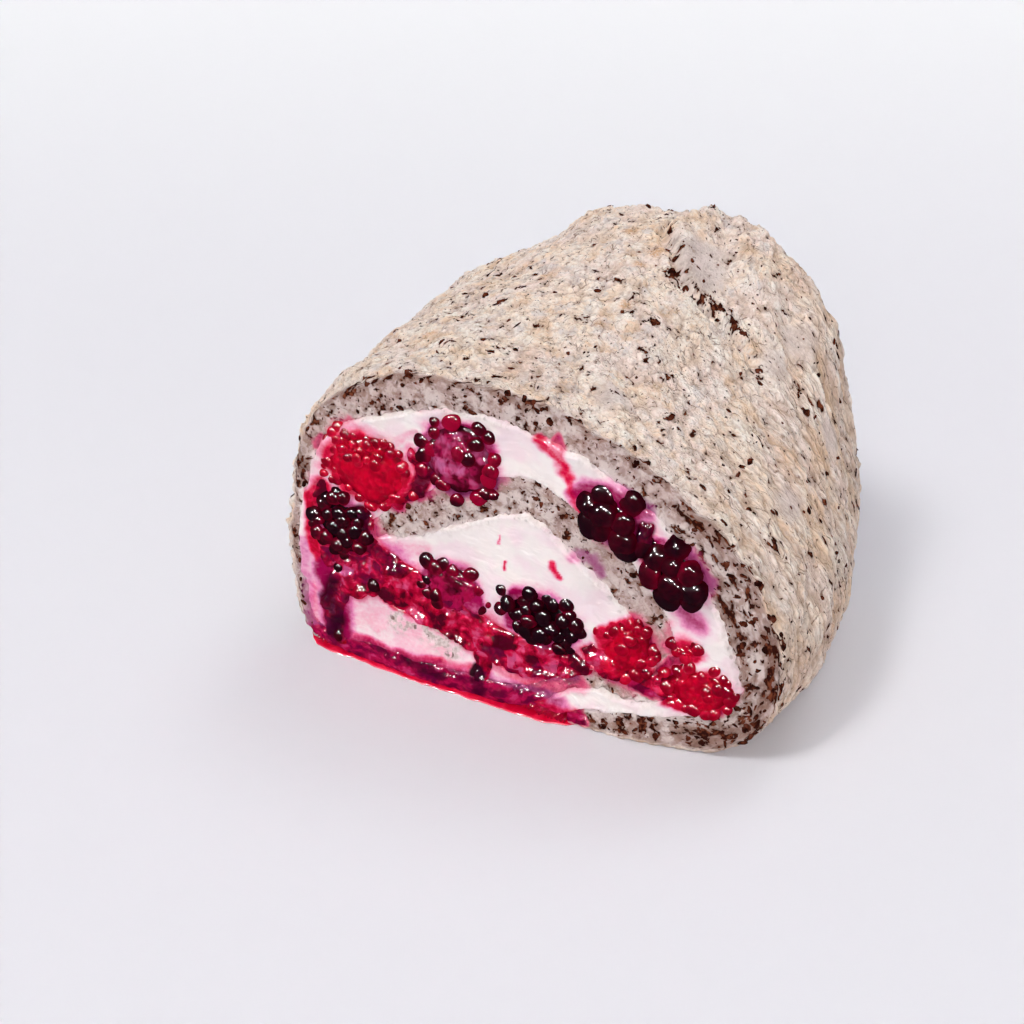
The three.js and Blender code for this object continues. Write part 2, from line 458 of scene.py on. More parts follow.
class Draft:
    """Corners, faces and attributes of a mesh that is being put together."""

    def __init__(self) -> None:
        """Starts empty."""
        self.corners: list[Array] = []
        self.faces: list[Array] = []
        self.marks: dict[str, list[Array]] = {}
        self.count = 0

    def add(self, corners: Array, faces: Sequence[Array], marks: dict[str, Array]) -> None:
        """Adds a shell, turned so that its faces point outwards.

        Args:
            corners: Corner positions in metres.
            faces: Arrays of triangles or quads as corner numbers.
            marks: Attribute values by name, one row for each corner.
        """
        volume = 0.0
        for part in faces:
            a = corners[part[:, 0]]
            for k in range(1, part.shape[1] - 1):
                normal = np.cross(corners[part[:, k]], corners[part[:, k + 1]])
                volume += np.einsum("ij,ij->i", a, normal).sum()
        for part in faces:
            self.faces.append((part[:, ::-1] if volume < 0 else part) + self.count)
        self.corners.append(corners)
        self.count += len(corners)
        for name, values in marks.items():
            self.marks.setdefault(name, []).append(values)

    def build(self, name: str) -> bpy.types.Object:
        """Makes the mesh object and its attributes.

        Args:
            name: Name of the object and its mesh.

        Returns:
            The new object.
        """
        mesh = bpy.data.meshes.new(name)
        corners = np.concatenate(self.corners).astype(np.float32)
        mesh.vertices.add(len(corners))
        mesh.vertices.foreach_set("co", corners.ravel())
        loops = np.concatenate([part.ravel() for part in self.faces]).astype(np.int32)
        sizes = np.concatenate([np.full(len(part), part.shape[1]) for part in self.faces])
        mesh.loops.add(len(loops))
        mesh.loops.foreach_set("vertex_index", loops)
        mesh.polygons.add(len(sizes))
        mesh.polygons.foreach_set("loop_start", (np.cumsum(sizes) - sizes).astype(np.int32))
        mesh.update(calc_edges=True)
        mesh.validate()
        for mark, parts in self.marks.items():
            values = np.concatenate(parts).astype(np.float32)
            kind, key = ("FLOAT_VECTOR", "vector") if values.ndim == 2 else ("FLOAT", "value")
            mesh.attributes.new(mark, kind, "POINT").data.foreach_set(key, values.ravel())
        mesh.shade_smooth()
        made = bpy.data.objects.new(name, mesh)
        bpy.context.scene.collection.objects.link(made)
        return made


# ---- Node trees ----


class Sock:
    """An output socket that can stand in a Python expression."""

    def __init__(self, nodes: "Nodes", socket: bpy.types.NodeSocket) -> None:
        """Wraps a socket of a tree."""
        self.nodes, self.socket = nodes, socket

    def _math(self, operation: str, *values: Any) -> "Sock":
        """Result of a Math node on values."""
        return self.nodes.get("ShaderNodeMath", {"operation": operation}, dict(enumerate(values)))

    def _vector(self, operation: str, inputs: dict[Any, Any], out: int = 0) -> "Sock":
        """Result of a Vector Math node on its inputs."""
        return self.nodes.get("ShaderNodeVectorMath", {"operation": operation}, inputs, out)

    def __add__(self, other: Any) -> "Sock":
        """This plus other."""
        return self._math("ADD", self, other)

    def __radd__(self, other: Any) -> "Sock":
        """Other plus this."""
        return self._math("ADD", other, self)

    def __sub__(self, other: Any) -> "Sock":
        """This less other."""
        return self._math("SUBTRACT", self, other)

    def __rsub__(self, other: Any) -> "Sock":
        """Other less this."""
        return self._math("SUBTRACT", other, self)

    def __mul__(self, other: Any) -> "Sock":
        """This times other."""
        return self._math("MULTIPLY", self, other)

    def __rmul__(self, other: Any) -> "Sock":
        """Other times this."""
        return self._math("MULTIPLY", other, self)

    def __truediv__(self, other: Any) -> "Sock":
        """This over other."""
        return self._math("DIVIDE", self, other)

    def __rtruediv__(self, other: Any) -> "Sock":
        """Other over this."""
        return self._math("DIVIDE", other, self)

    def __pow__(self, other: Any) -> "Sock":
        """This to a power."""
        return self._math("POWER", self, other)

    def highest(self, other: Any) -> "Sock":
        """The larger of this and other."""
        return self._math("MAXIMUM", self, other)

    def lowest(self, other: Any) -> "Sock":
        """The smaller of this and other."""
        return self._math("MINIMUM", self, other)

    def rise(self, low: float, high: float) -> "Sock":
        """Smooth step.

        Args:
            low: Where it is 0.
            high: Where it is 1; it may be below low.

        Returns:
            The step.
        """
        if high < low:
            return 1 - self.rise(high, low)
        settings = {"interpolation_type": "SMOOTHSTEP"}
        return self.nodes.get("ShaderNodeMapRange", settings, {0: self, 1: low, 2: high})

    def wave(self, operation: str) -> "Sock":
        """Sine or cosine of this, or its absolute value."""
        return self._math(operation, self)

    def moved(self, other: Any) -> "Sock":
        """Vector sum of this and other."""
        return self._vector("ADD", {0: self, 1: other})

    def scaled(self, by: Any) -> "Sock":
        """This vector times a number."""
        return self._vector("SCALE", {0: self, "Scale": by})

    def stretched(self, by: Any) -> "Sock":
        """This vector times another, axis by axis."""
        return self._vector("MULTIPLY", {0: self, 1: by})

    def parts(self) -> tuple["Sock", "Sock", "Sock"]:
        """The three numbers of this vector."""
        split = self.nodes.node("ShaderNodeSeparateXYZ", {}, {0: self})
        return tuple(Sock(self.nodes, out) for out in split.outputs)


class Nodes:
    """Adds nodes to one shader or geometry tree."""

    def __init__(self, tree: bpy.types.NodeTree) -> None:
        """Takes the tree to fill."""
        self.tree = tree

    def node(self, kind: str, settings: dict[str, Any] | None = None,
             inputs: dict[Any, Any] | None = None) -> bpy.types.Node:
        """Adds a node.

        Args:
            kind: Node type.
            settings: Node settings, set first.
            inputs: Values or sockets by input name or number.

        Returns:
            The new node.
        """
        made = self.tree.nodes.new(kind)
        for key, value in (settings or {}).items():
            setattr(made, key, value)
        for key, value in (inputs or {}).items():
            self.feed(made.inputs[key], value)
        return made

    def feed(self, socket: bpy.types.NodeSocket, value: Any) -> None:
        """Links or sets one input."""
        if isinstance(value, Sock):
            self.tree.links.new(value.socket, socket)
        else:
            socket.default_value = value

    def get(self, kind: str, settings: dict[str, Any] | None = None,
            inputs: dict[Any, Any] | None = None, out: Any = 0) -> Sock:
        """Adds a node and returns one of its outputs."""
        return Sock(self, self.node(kind, settings, inputs).outputs[out])

    def noise(
        self, at: Sock, scale: float, detail: float = 2.0, out: str = "Fac", roughness: float = 0.5
    ) -> Sock:
        """Noise texture at a vector."""
        inputs = {"Vector": at, "Scale": scale, "Detail": detail, "Roughness": roughness}
        return self.get("ShaderNodeTexNoise", {}, inputs, out)

    def cells(self, at: Sock, scale: float, feature: str = "F1", out: str = "Distance") -> Sock:
        """Cell texture at a vector."""
        inputs = {"Vector": at, "Scale": scale}
        return self.get("ShaderNodeTexVoronoi", {"feature": feature}, inputs, out)

    def mix(self, factor: Any, first: Any, second: Any) -> Sock:
        """Colour between two colours."""
        settings = {"data_type": "RGBA", "clamp_factor": True}
        return self.get("ShaderNodeMix", settings, {0: factor, 6: first, 7: second}, 2)

    def layers(self, body: Any, *coats: tuple[Any, Any]) -> Any:
        """Lays colours over one another.

        Args:
            body: Colour at the bottom.
            *coats: Amount and colour of each layer, from the bottom up.

        Returns:
            The colour on top.
        """
        for amount, colour in coats:
            body = self.mix(amount, body, colour)
        return body

    def vector(self, x: Any = 0.0, y: Any = 0.0, z: Any = 0.0) -> Sock:
        """Vector from three numbers."""
        return self.get("ShaderNodeCombineXYZ", {}, {0: x, 1: y, 2: z})

    def push(self, at: Sock, scale: float, detail: float) -> Sock:
        """Noise vector round zero, for moving things about."""
        return self.noise(at, scale, detail, "Color").moved((-0.5, -0.5, -0.5))

    def creases(self, at: Sock, scale: float, detail: float = 3.0, tight: float = 9.0) -> Sock:
        """1 along thin wandering lines, falling to 0 beside them."""
        off = (self.noise(at, scale, detail) - 0.5) * tight
        return (1 - off.wave("ABSOLUTE")).highest(0.0)

    def warped(self, at: Sock, scale: float, far: float) -> Sock:
        """A vector moved about by noise."""
        return at.moved(self.push(at, scale, 2.0).scaled(2 * far))


@dataclass(frozen=True)
class ScalePattern:
    """Pattern of the crust's dry scales, the same for its relief and its colours."""

    size: float = 2.0
    small: float = 0.9

    def lay(self, nodes: Nodes, grain: Sock) -> tuple[Sock, Sock, Sock, Sock, Sock]:
        """Adds the pattern to a tree.

        Args:
            nodes: Tree to add to.
            grain: Place on the sheet in millimetres.

        Returns:
            Roundness of a large scale, distance to its edge and its tone, then the roundness
            and edge of a small one.
        """
        at = nodes.warped(nodes.warped(grain, 0.16, 1.6), 0.8, 0.45)
        middle = nodes.cells(at, 1 / self.size)
        edge = nodes.cells(at, 1 / self.size, "DISTANCE_TO_EDGE") * self.size
        tone = nodes.cells(at, 1 / self.size, "F1", "Color").parts()[0]
        small = nodes.cells(at, 1 / self.small)
        small_edge = nodes.cells(at, 1 / self.small, "DISTANCE_TO_EDGE") * self.small
        return 1 - middle * middle * 1.5, edge, tone, 1 - small * small * 1.5, small_edge

    @staticmethod
    def wrinkles(nodes: Nodes, grain: Sock) -> tuple[Sock, Sock]:
        """Wrinkles of the crust, each from 0 to 1.

        Args:
            nodes: Tree to add to.
            grain: Place on the sheet in millimetres.

        Returns:
            Papery wrinkles all over, and the upright ridges of the steep flank.
        """
        soft = nodes.creases(
            nodes.warped(grain, 0.3, 1.4).stretched((1.0, 0.7, 1.0)), 0.45, 3.0, 13.0
        )
        arc = grain.parts()[0]
        flank = arc.rise(16.0, 26.0) * arc.rise(60.0, 42.0)
        upright = nodes.warped(grain, 0.4, 0.7).stretched((0.34, 1.35, 1.0))
        return soft, nodes.creases(upright, 0.5, 1.6, 8.0) * flank


class GeometryTree(Nodes):
    """A geometry tree with named inputs."""

    def __init__(self, name: str, **inputs: Any) -> None:
        """Makes the tree.

        Args:
            name: Name of the tree.
            **inputs: Value of each input by its name; its type follows the value.
        """
        super().__init__(bpy.data.node_groups.new(name, "GeometryNodeTree"))
        self.values = inputs
        face = self.tree.interface
        face.new_socket("Geometry", in_out="INPUT", socket_type="NodeSocketGeometry")
        face.new_socket("Geometry", in_out="OUTPUT", socket_type="NodeSocketGeometry")
        kinds = {float: "NodeSocketFloat", int: "NodeSocketInt", tuple: "NodeSocketVector"}
        for key, value in inputs.items():
            face.new_socket(key, in_out="INPUT", socket_type=kinds[type(value)])
        self.entry = self.tree.nodes.new("NodeGroupInput")

    def input(self, name: str) -> Sock:
        """One of the tree's inputs."""
        return Sock(self, self.entry.outputs[name])

    def named(self, name: str, kind: str = "FLOAT") -> Sock:
        """A named attribute of the mesh."""
        return self.get("GeometryNodeInputNamedAttribute", {"data_type": kind}, {"Name": name})

    def random(self, low: Any, high: Any, salt: int) -> Sock:
        """A random number or vector between two, by the tree's seed.

        Args:
            low: Lowest value.
            high: Highest value.
            salt: Number that sets this draw apart from the others.

        Returns:
            The draw.
        """
        vector = isinstance(low, tuple)
        settings = {"data_type": "FLOAT_VECTOR" if vector else "FLOAT"}
        first = 0 if vector else 2
        inputs = {first: low, first + 1: high, "Seed": self.input("Seed") + float(salt)}
        return self.get("FunctionNodeRandomValue", settings, inputs, 0 if vector else 1)

    def place(self) -> Sock:
        """Place of a corner in millimetres."""
        return self.get("GeometryNodeInputPosition").scaled(1 / MM)

    def shifted(self, geometry: Sock, offset: Sock) -> Sock:
        """Geometry with its corners moved."""
        return self.get("GeometryNodeSetPosition", {}, {"Geometry": geometry, "Offset": offset})

    def ball(self, detail: int) -> Sock:
        """A ball of radius 1."""
        return self.get("GeometryNodeMeshIcoSphere", {}, {"Radius": 1.0, "Subdivisions": detail})

    def scatter(self, method: str, inputs: dict[str, Any]) -> bpy.types.Node:
        """Spreads points over a mesh."""
        kind = "GeometryNodeDistributePointsOnFaces"
        return self.node(kind, {"distribute_method": method}, inputs)

    def sleek(self, geometry: Sock) -> Sock:
        """Geometry that is shaded smooth."""
        return self.get("GeometryNodeSetShadeSmooth", {}, {0: geometry})

    def real(self, geometry: Sock) -> Sock:
        """Instances made into real geometry."""
        return self.get("GeometryNodeRealizeInstances", {}, {0: geometry})

    def store(self, geometry: Sock, name: str, value: Any, domain: str = "POINT") -> Sock:
        """Stores a number as a named attribute.

        Args:
            geometry: What carries it.
            name: Name of the attribute.
            value: The number.
            domain: Where it is stored.

        Returns:
            The geometry with the attribute.
        """
        settings = {"data_type": "FLOAT", "domain": domain}
        inputs = {"Geometry": geometry, "Name": name, "Value": value}
        return self.get("GeometryNodeStoreNamedAttribute", settings, inputs)

    def close(self, geometry: Sock, material: bpy.types.Material) -> None:
        """Ends the tree with real geometry that wears a material.

        Args:
            geometry: What the tree has made.
            material: Its finish.
        """
        inputs = {"Geometry": self.real(geometry), "Material": material}
        dressed = self.get("GeometryNodeSetMaterial", {}, inputs)
        end = self.tree.nodes.new("NodeGroupOutput")
        self.tree.links.new(dressed.socket, end.inputs[0])

    def run(self, host: bpy.types.Object, name: str) -> bpy.types.Object:
        """Applies the tree to a host and keeps the result as a plain object.

        Args:
            host: Object that carries the input geometry; it is left as it was.
            name: Name of the new object.

        Returns:
            The new object.
        """
        modifier = host.modifiers.new("grow", "NODES")
        modifier.node_group = self.tree
        for item in self.tree.interface.items_tree:
            if item.in_out == "INPUT" and item.name in self.values:
                modifier[item.identifier] = self.values[item.name]
        bpy.context.view_layer.update()
        graph = bpy.context.evaluated_depsgraph_get()
        grown = host.evaluated_get(graph)
        mesh = bpy.data.meshes.new_from_object(
            grown, preserve_all_data_layers=True, depsgraph=graph
        )
        host.modifiers.remove(modifier)
        mesh.name = name
        made = bpy.data.objects.new(name, mesh)
        bpy.context.scene.collection.objects.link(made)
        return made


def discard(*objects: bpy.types.Object) -> None:
    """Removes working objects."""
    for item in objects:
        bpy.data.objects.remove(item)


# ---- Finishes ----


class Finish:
    """A procedural finish; each kind says how it is painted."""

    name: str = "finish"
    scatter: float = 0.0012

    def make(self) -> bpy.types.Material:
        """Makes the material and paints it."""
        material = bpy.data.materials.new(self.name)
        material.use_nodes = True
        material.node_tree.nodes.clear()
        nodes = Nodes(material.node_tree)
        shader = nodes.node("ShaderNodeBsdfPrincipled")
        out = nodes.node("ShaderNodeOutputMaterial")
        nodes.tree.links.new(shader.outputs[0], out.inputs["Surface"])
        for key, value in ({"Specular IOR Level": 0.0} | self.paint(nodes)).items():
            nodes.feed(shader.inputs[key], value)
        return material

    def paint(self, nodes: Nodes) -> dict[str, Any]:
        """Adds the pattern's nodes and returns the shader's inputs by name."""
        raise NotImplementedError

    @staticmethod
    def attribute(nodes: Nodes, name: str, out: str = "Fac") -> Sock:
        """A named attribute of the mesh in a shader tree."""
        return nodes.get("ShaderNodeAttribute", {"attribute_name": name}, {}, out)

    @staticmethod
    def millimetres(nodes: Nodes) -> Sock:
        """Place on the piece in millimetres."""
        return nodes.get("ShaderNodeTexCoord", {}, {}, "Object").scaled(1 / MM)

    @staticmethod
    def bump(nodes: Nodes, height: Sock, strength: float, distance: float) -> Sock:
        """Normal from a height in millimetres."""
        inputs = {"Height": height, "Strength": strength, "Distance": distance * MM}
        return nodes.get("ShaderNodeBump", {}, inputs, "Normal")


@dataclass(frozen=True)
class MeringueFinish(Finish):
    """Dry scaly crust outside, moist flecked crumb on the cuts, stained where juice has run."""

    name: str = "meringue"
    scales: ScalePattern = ScalePattern()
    cream: Colour = rgb(252, 232, 215)
    blush: Colour = rgb(249, 230, 221)
    tan: Colour = rgb(244, 213, 183)
    white: Colour = rgb(253, 247, 240)
    grey: Colour = rgb(218, 207, 205)
    smoky: Colour = rgb(184, 170, 165)
    line: Colour = rgb(182, 146, 120)
    crack: Colour = rgb(122, 86, 68)
    toasted: Colour = rgb(222, 168, 116)
    bare_dull: Colour = rgb(186, 168, 160)
    bare_pale: Colour = rgb(224, 208, 202)
    crumb: Colour = rgb(208, 186, 180)
    moist: Colour = rgb(176, 148, 141)
    light: Colour = rgb(220, 205, 200)
    brown: Colour = rgb(152, 114, 98)
    frothy: Colour = rgb(242, 236, 233)
    creamed: Colour = rgb(242, 229, 227)
    speck: Colour = rgb(50, 21, 15)
    chip: Colour = rgb(122, 64, 44)
    crust_halo: Colour = rgb(150, 120, 104)
    crumb_halo: Colour = rgb(126, 93, 82)
    pink: Colour = rgb(222, 70, 120)
    lilac: Colour = rgb(164, 70, 128)
    jelly_deep: Colour = rgb(104, 0, 44)
    jelly_red: Colour = rgb(182, 14, 72)
    jelly_pink: Colour = rgb(206, 60, 122)
    plum: Colour = rgb(98, 4, 60)
    black: Colour = rgb(60, 0, 34)

    def paint(self, nodes: Nodes) -> dict[str, Any]:
        """Paints crust, crumb, chocolate and juice.

        Args:
            nodes: Tree to add to.

        Returns:
            The shader's inputs by name.
        """
        grain = self.attribute(nodes, "grain", "Vector")
        crust, bare, fleck = (self.attribute(nodes, key) for key in ("crust", "bare", "fleck"))
        pattern = self.scales.lay(nodes, grain)
        dome, edge, _, small, _ = pattern
        broad, patch = nodes.noise(grain, 0.12, 3.0), nodes.noise(grain, 0.33, 2.0)
        fine = nodes.noise(grain, 2.6, 4.0)
        moist = nodes.noise(nodes.warped(grain, 0.5, 0.8), 0.75, 4.0, "Fac", 0.62)
        body = self._crust(nodes, grain, (*pattern, broad, patch, fine))
        skin = nodes.mix(
            (fine * 0.4 + patch * 0.6).rise(0.35, 0.62), self.bare_dull, self.bare_pale
        )
        body = nodes.mix(bare, body, skin)
        body = nodes.mix(crust, self._crumb(nodes, grain, moist, fine, fleck), body)
        body, chips = self._chips(nodes, grain, crust, fleck, body)
        red, violet, dark = self.attribute(nodes, "soak", "Vector").parts()
        stir = (moist - 0.5) * 0.5
        red, violet = red + stir * red.rise(0.02, 0.2), violet + stir * violet.rise(0.02, 0.2)
        blur = nodes.noise(nodes.warped(grain, 0.3, 2.0).stretched((0.6, 1.0, 1.2)), 0.45, 3.0)
        jelly = nodes.mix(blur.rise(0.38, 0.56), self.jelly_deep, self.jelly_red)
        jelly = nodes.mix(blur.rise(0.56, 0.68) * 0.8, jelly, self.jelly_pink)
        body = nodes.layers(
            body,
            (red.rise(0.08, 0.5) * 0.85, self.pink),
            (violet.rise(0.1, 0.6) * 0.8, self.lilac),
            (red.rise(0.45, 0.85), jelly),
            (violet.rise(0.5, 0.95) * blur.rise(0.6, 0.42) * 0.8, self.plum),
            (dark.rise(0.1, 0.9) * 0.8, self.black),
        )
        wet = red.highest(violet).highest(dark)
        rough = 0.9 * crust + (1 - crust) * (0.26 + 0.3 * fine) - bare * 0.45
        soft, upright = self.scales.wrinkles(nodes, grain)
        flake = (
            dome * 0.26 + edge.rise(0.0, 0.2) * 0.08 + small * 0.15
            - nodes.creases(grain, 0.8, 2.0, 13.0) * 0.12
        )
        height = (
            (flake - soft * 0.14 - upright * 0.2) * crust * (1 - bare) + fine * 0.3 - chips * 0.1
        )
        pores = moist * 0.35 + nodes.noise(grain, 1.3, 2.0) * 0.3 - fine * 0.16
        glint = nodes.noise(grain.moved((9.0, 1.0, 4.0)), 0.5, 3.0).rise(0.5, 0.66) * 0.05
        gloss = glint * (1 - crust) + wet.rise(0.15, 0.6) * 0.04 + bare * 0.004
        return {
            "Base Color": body, "Roughness": (rough - wet * 0.4).highest(0.1),
            "Normal": self.bump(nodes, height + (1 - crust) * pores, 0.9, 1.0),
            "Coat Weight": gloss.lowest(0.07), "Coat Roughness": 0.2,
        }

    def _crust(self, nodes: Nodes, grain: Sock, pattern: tuple[Sock, ...]) -> Sock:
        """Colour of the dry crust, with painted highlight and shade on its scales and wrinkles.

        Args:
            nodes: Tree to add to.
            grain: Place on the sheet in millimetres.
            pattern: What the scales' pattern gives, then its broad, patchy and fine noise.

        Returns:
            The colour.
        """
        dome, edge, tone, small, small_edge, broad, patch, fine = pattern
        soft, upright = self.scales.wrinkles(nodes, grain)
        arc = grain.parts()[0]
        flank = arc.rise(14.0, 26.0) * arc.rise(64.0, 40.0)
        warm = nodes.noise(grain.moved((31.0, 7.0, 3.0)), 0.16, 4.0, "Fac", 0.6) + flank * 0.02
        plain = nodes.noise(grain.moved((7.0, 5.0, 21.0)), 0.2, 4.0, "Fac", 0.6)
        smoke = nodes.noise(grain.moved((3.0, 17.0, 5.0)), 0.3, 3.0, "Fac", 0.6)
        # Darker lines: a few real hairlines, and painted shade in the wrinkle grooves, the upright
        # grooves and the low rims between scales.
        lines = (
            nodes.creases(grain, 0.8, 2.0, 20.0) * 0.22 + soft * 0.2 + upright * 0.42
            + dome.rise(0.6, 0.05) * 0.26
        )
        gaps = nodes.noise(grain, 0.5, 2.0)
        open_crack = edge.rise(0.08, 0.01) * gaps.rise(0.52, 0.62)
        hair = small_edge.rise(0.06, 0.01) * gaps.rise(0.44, 0.34) * 0.4
        grit = fine - 0.5
        return nodes.layers(
            self.cream,
            ((broad + (tone - 0.5) * 0.1).rise(0.42, 0.56), self.blush),
            ((warm + (tone - 0.5) * 0.08).rise(0.5, 0.66) * 0.85, self.tan),
            # Painted highlight: the tops of the scales are lightened towards white.
            ((dome * 0.4 + small * 0.3 + fine * 0.6).rise(0.62, 0.95) * 0.5, self.white),
            ((plain + grit * 0.2).rise(0.5, 0.64) * 0.6, self.white),
            ((patch + grit * 0.3).rise(0.56, 0.68) * 0.6 * (1 - flank * 0.6), self.grey),
            (self.attribute(nodes, "toast") * fine.rise(0.25, 0.6) * 0.8, self.toasted),
            (smoke.rise(0.6, 0.74) * 0.45, self.smoky),
            # Hairlines, and painted shade in the crevices.
            (lines.lowest(0.65), self.line),
            (open_crack.highest(hair) * 0.75, self.crack),
        )

    def _crumb(self, nodes: Nodes, grain: Sock, moist: Sock, fine: Sock, fleck: Sock) -> Sock:
        """Colour of the moist crumb on the cuts.

        Args:
            nodes: Tree to add to.
            grain: Place on the sheet in millimetres.
            moist: Noise of the damp patches.
            fine: Fine noise.
            fleck: How many flecks there are.

        Returns:
            The colour.
        """
        depth = grain.parts()[2] - 40.0
        pale = nodes.noise(grain, 0.36, 3.0)
        warm = (
            nodes.noise(nodes.warped(grain, 0.4, 1.2), 0.55, 3.0) + depth.rise(3.4, 0.8) * 0.05
            + fleck.rise(0.6, 2.4) * 0.1
        )
        cream = self.attribute(nodes, "creamy") + (pale - 0.5) * 1.1 + (moist - 0.5) * 0.8
        return nodes.layers(
            self.moist,
            (moist.rise(0.36, 0.6), self.crumb),
            ((pale + depth.rise(2.6, 5.5) * 0.08).rise(0.46, 0.64) * 0.85, self.light),
            (warm.rise(0.52, 0.68) * 0.65, self.brown),
            (fine.rise(0.6, 0.76) * 0.4, self.frothy),
            (cream.rise(0.45, 0.85) * 0.85, self.creamed),
        )

    def _chips(
        self, nodes: Nodes, grain: Sock, crust: Sock, fleck: Sock, body: Sock
    ) -> tuple[Sock, Sock]:
        """Adds slivers and specks of chocolate to a colour, with painted shadow round them on the
        crust.

        Args:
            nodes: Tree to add to.
            grain: Place on the sheet in millimetres.
            crust: 1 on the crust, 0 on the crumb.
            fleck: How many flecks there are.
            body: Colour under them.

        Returns:
            The new colour, and where the chips are.
        """
        bent, inside = nodes.warped(grain, 1.1, 0.35), 1 - crust
        field = (
            nodes.noise(bent.moved((11.0, 3.0, 9.0)), crust * 0.02 + 0.6, 2.0, "Fac", 0.55)
            + fleck.lowest(2.8) * (0.031 + crust * 0.012) + inside * 0.05
            + crust * (0.028 + (nodes.noise(grain, 0.13, 2.0) - 0.5) * 0.12)
        )
        small = (
            nodes.noise(bent.moved((2.0, 13.0, 4.0)), crust * 0.3 + 1.4, 1.0)
            + fleck.lowest(3.0) * 0.03 + inside * 0.02 + crust * 0.006
        )
        chips = field.rise(0.705, 0.725).highest(small.rise(0.72, 0.745))
        # Halo round the chips: painted shadow on the crust, a brown stain on the crumb.
        smoke = field.rise(0.58, 0.71) * 0.55 + small.rise(0.62, 0.73) * 0.25
        dark = nodes.mix(nodes.noise(grain, 1.6, 2.0).rise(0.44, 0.68), self.speck, self.chip)
        body = nodes.layers(
            body,
            (smoke * crust * 0.8, self.crust_halo),
            ((smoke * 1.2 + fleck.rise(1.4, 3.6) * 0.3).lowest(0.8) * inside, self.crumb_halo),
            (chips, dark),
        )
        return body, chips


@dataclass(frozen=True)
class CreamFinish(Finish):
    """Whipped cream, dragged by the knife and tinted by the juices."""

    name: str = "cream"
    white: Colour = rgb(252, 241, 238)
    blush: Colour = rgb(252, 226, 233)
    pink: Colour = rgb(246, 166, 192)
    rose: Colour = rgb(222, 22, 70)
    red: Colour = rgb(176, 2, 32)
    lilac: Colour = rgb(232, 118, 180)
    plum: Colour = rgb(158, 6, 74)
    black: Colour = rgb(40, 0, 16)
    scrap_dull: Colour = rgb(190, 166, 158)
    scrap_pale: Colour = rgb(226, 214, 208)
    scrap_brown: Colour = rgb(92, 50, 40)

    def paint(self, nodes: Nodes) -> dict[str, Any]:
        """Paints the cream, its stains and the scraps of crumb on it.

        Args:
            nodes: Tree to add to.

        Returns:
            The shader's inputs by name.
        """
        at = self.millimetres(nodes)
        drag = nodes.noise(nodes.warped(at, 0.12, 3.0).stretched((0.3, 0.5, 0.8)), 0.8, 2.0)
        fine, broad = nodes.noise(at, 1.7, 3.0), nodes.noise(at, 0.16, 2.0)
        red, violet, dark = self.attribute(nodes, "soak", "Vector").parts()
        swirl = (drag - 0.5) * 0.45 + (fine - 0.5) * 0.3
        red, violet = red + swirl * red.rise(0.02, 0.3), violet + swirl * violet.rise(0.02, 0.3)
        crumb = self.attribute(nodes, "crumb") * nodes.noise(at, 0.8, 3.0).rise(0.42, 0.56)
        scrap = nodes.mix(fine.rise(0.4, 0.6), self.scrap_dull, self.scrap_pale)
        speck = nodes.cells(nodes.warped(at, 0.9, 0.4), 0.45).rise(0.24, 0.16)
        body = nodes.layers(
            self.white,
            (broad.rise(0.42, 0.62) * 0.7, self.blush),
            (red.rise(0.02, 0.55), self.pink),
            (violet.rise(0.04, 0.6) * 0.85, self.lilac),
            (red.rise(0.35, 0.9), self.rose),
            (violet.rise(0.42, 0.95), self.plum),
            (red.rise(0.85, 1.0) * 0.8, self.red),
            (dark.rise(0.1, 0.8), self.black),
            (crumb * 0.8, scrap),
            (crumb * speck * 0.8, self.scrap_brown),
        )
        wet = red.highest(violet).highest(dark)
        gloss = wet.rise(0.1, 0.6) * 0.05 + (fine * 0.5 + broad * 0.5).rise(0.52, 0.6) * 0.02
        return {
            "Base Color": body, "Roughness": 0.34 - wet.rise(0.2, 0.8) * 0.2,
            "Normal": self.bump(nodes, drag + fine * 0.05, 0.4, 1.0),
            "Coat Weight": gloss, "Coat Roughness": 0.2,
            "Subsurface Weight": 0.12, "Subsurface Radius": (1.0, 0.6, 0.5),
            "Subsurface Scale": self.scatter,
        }


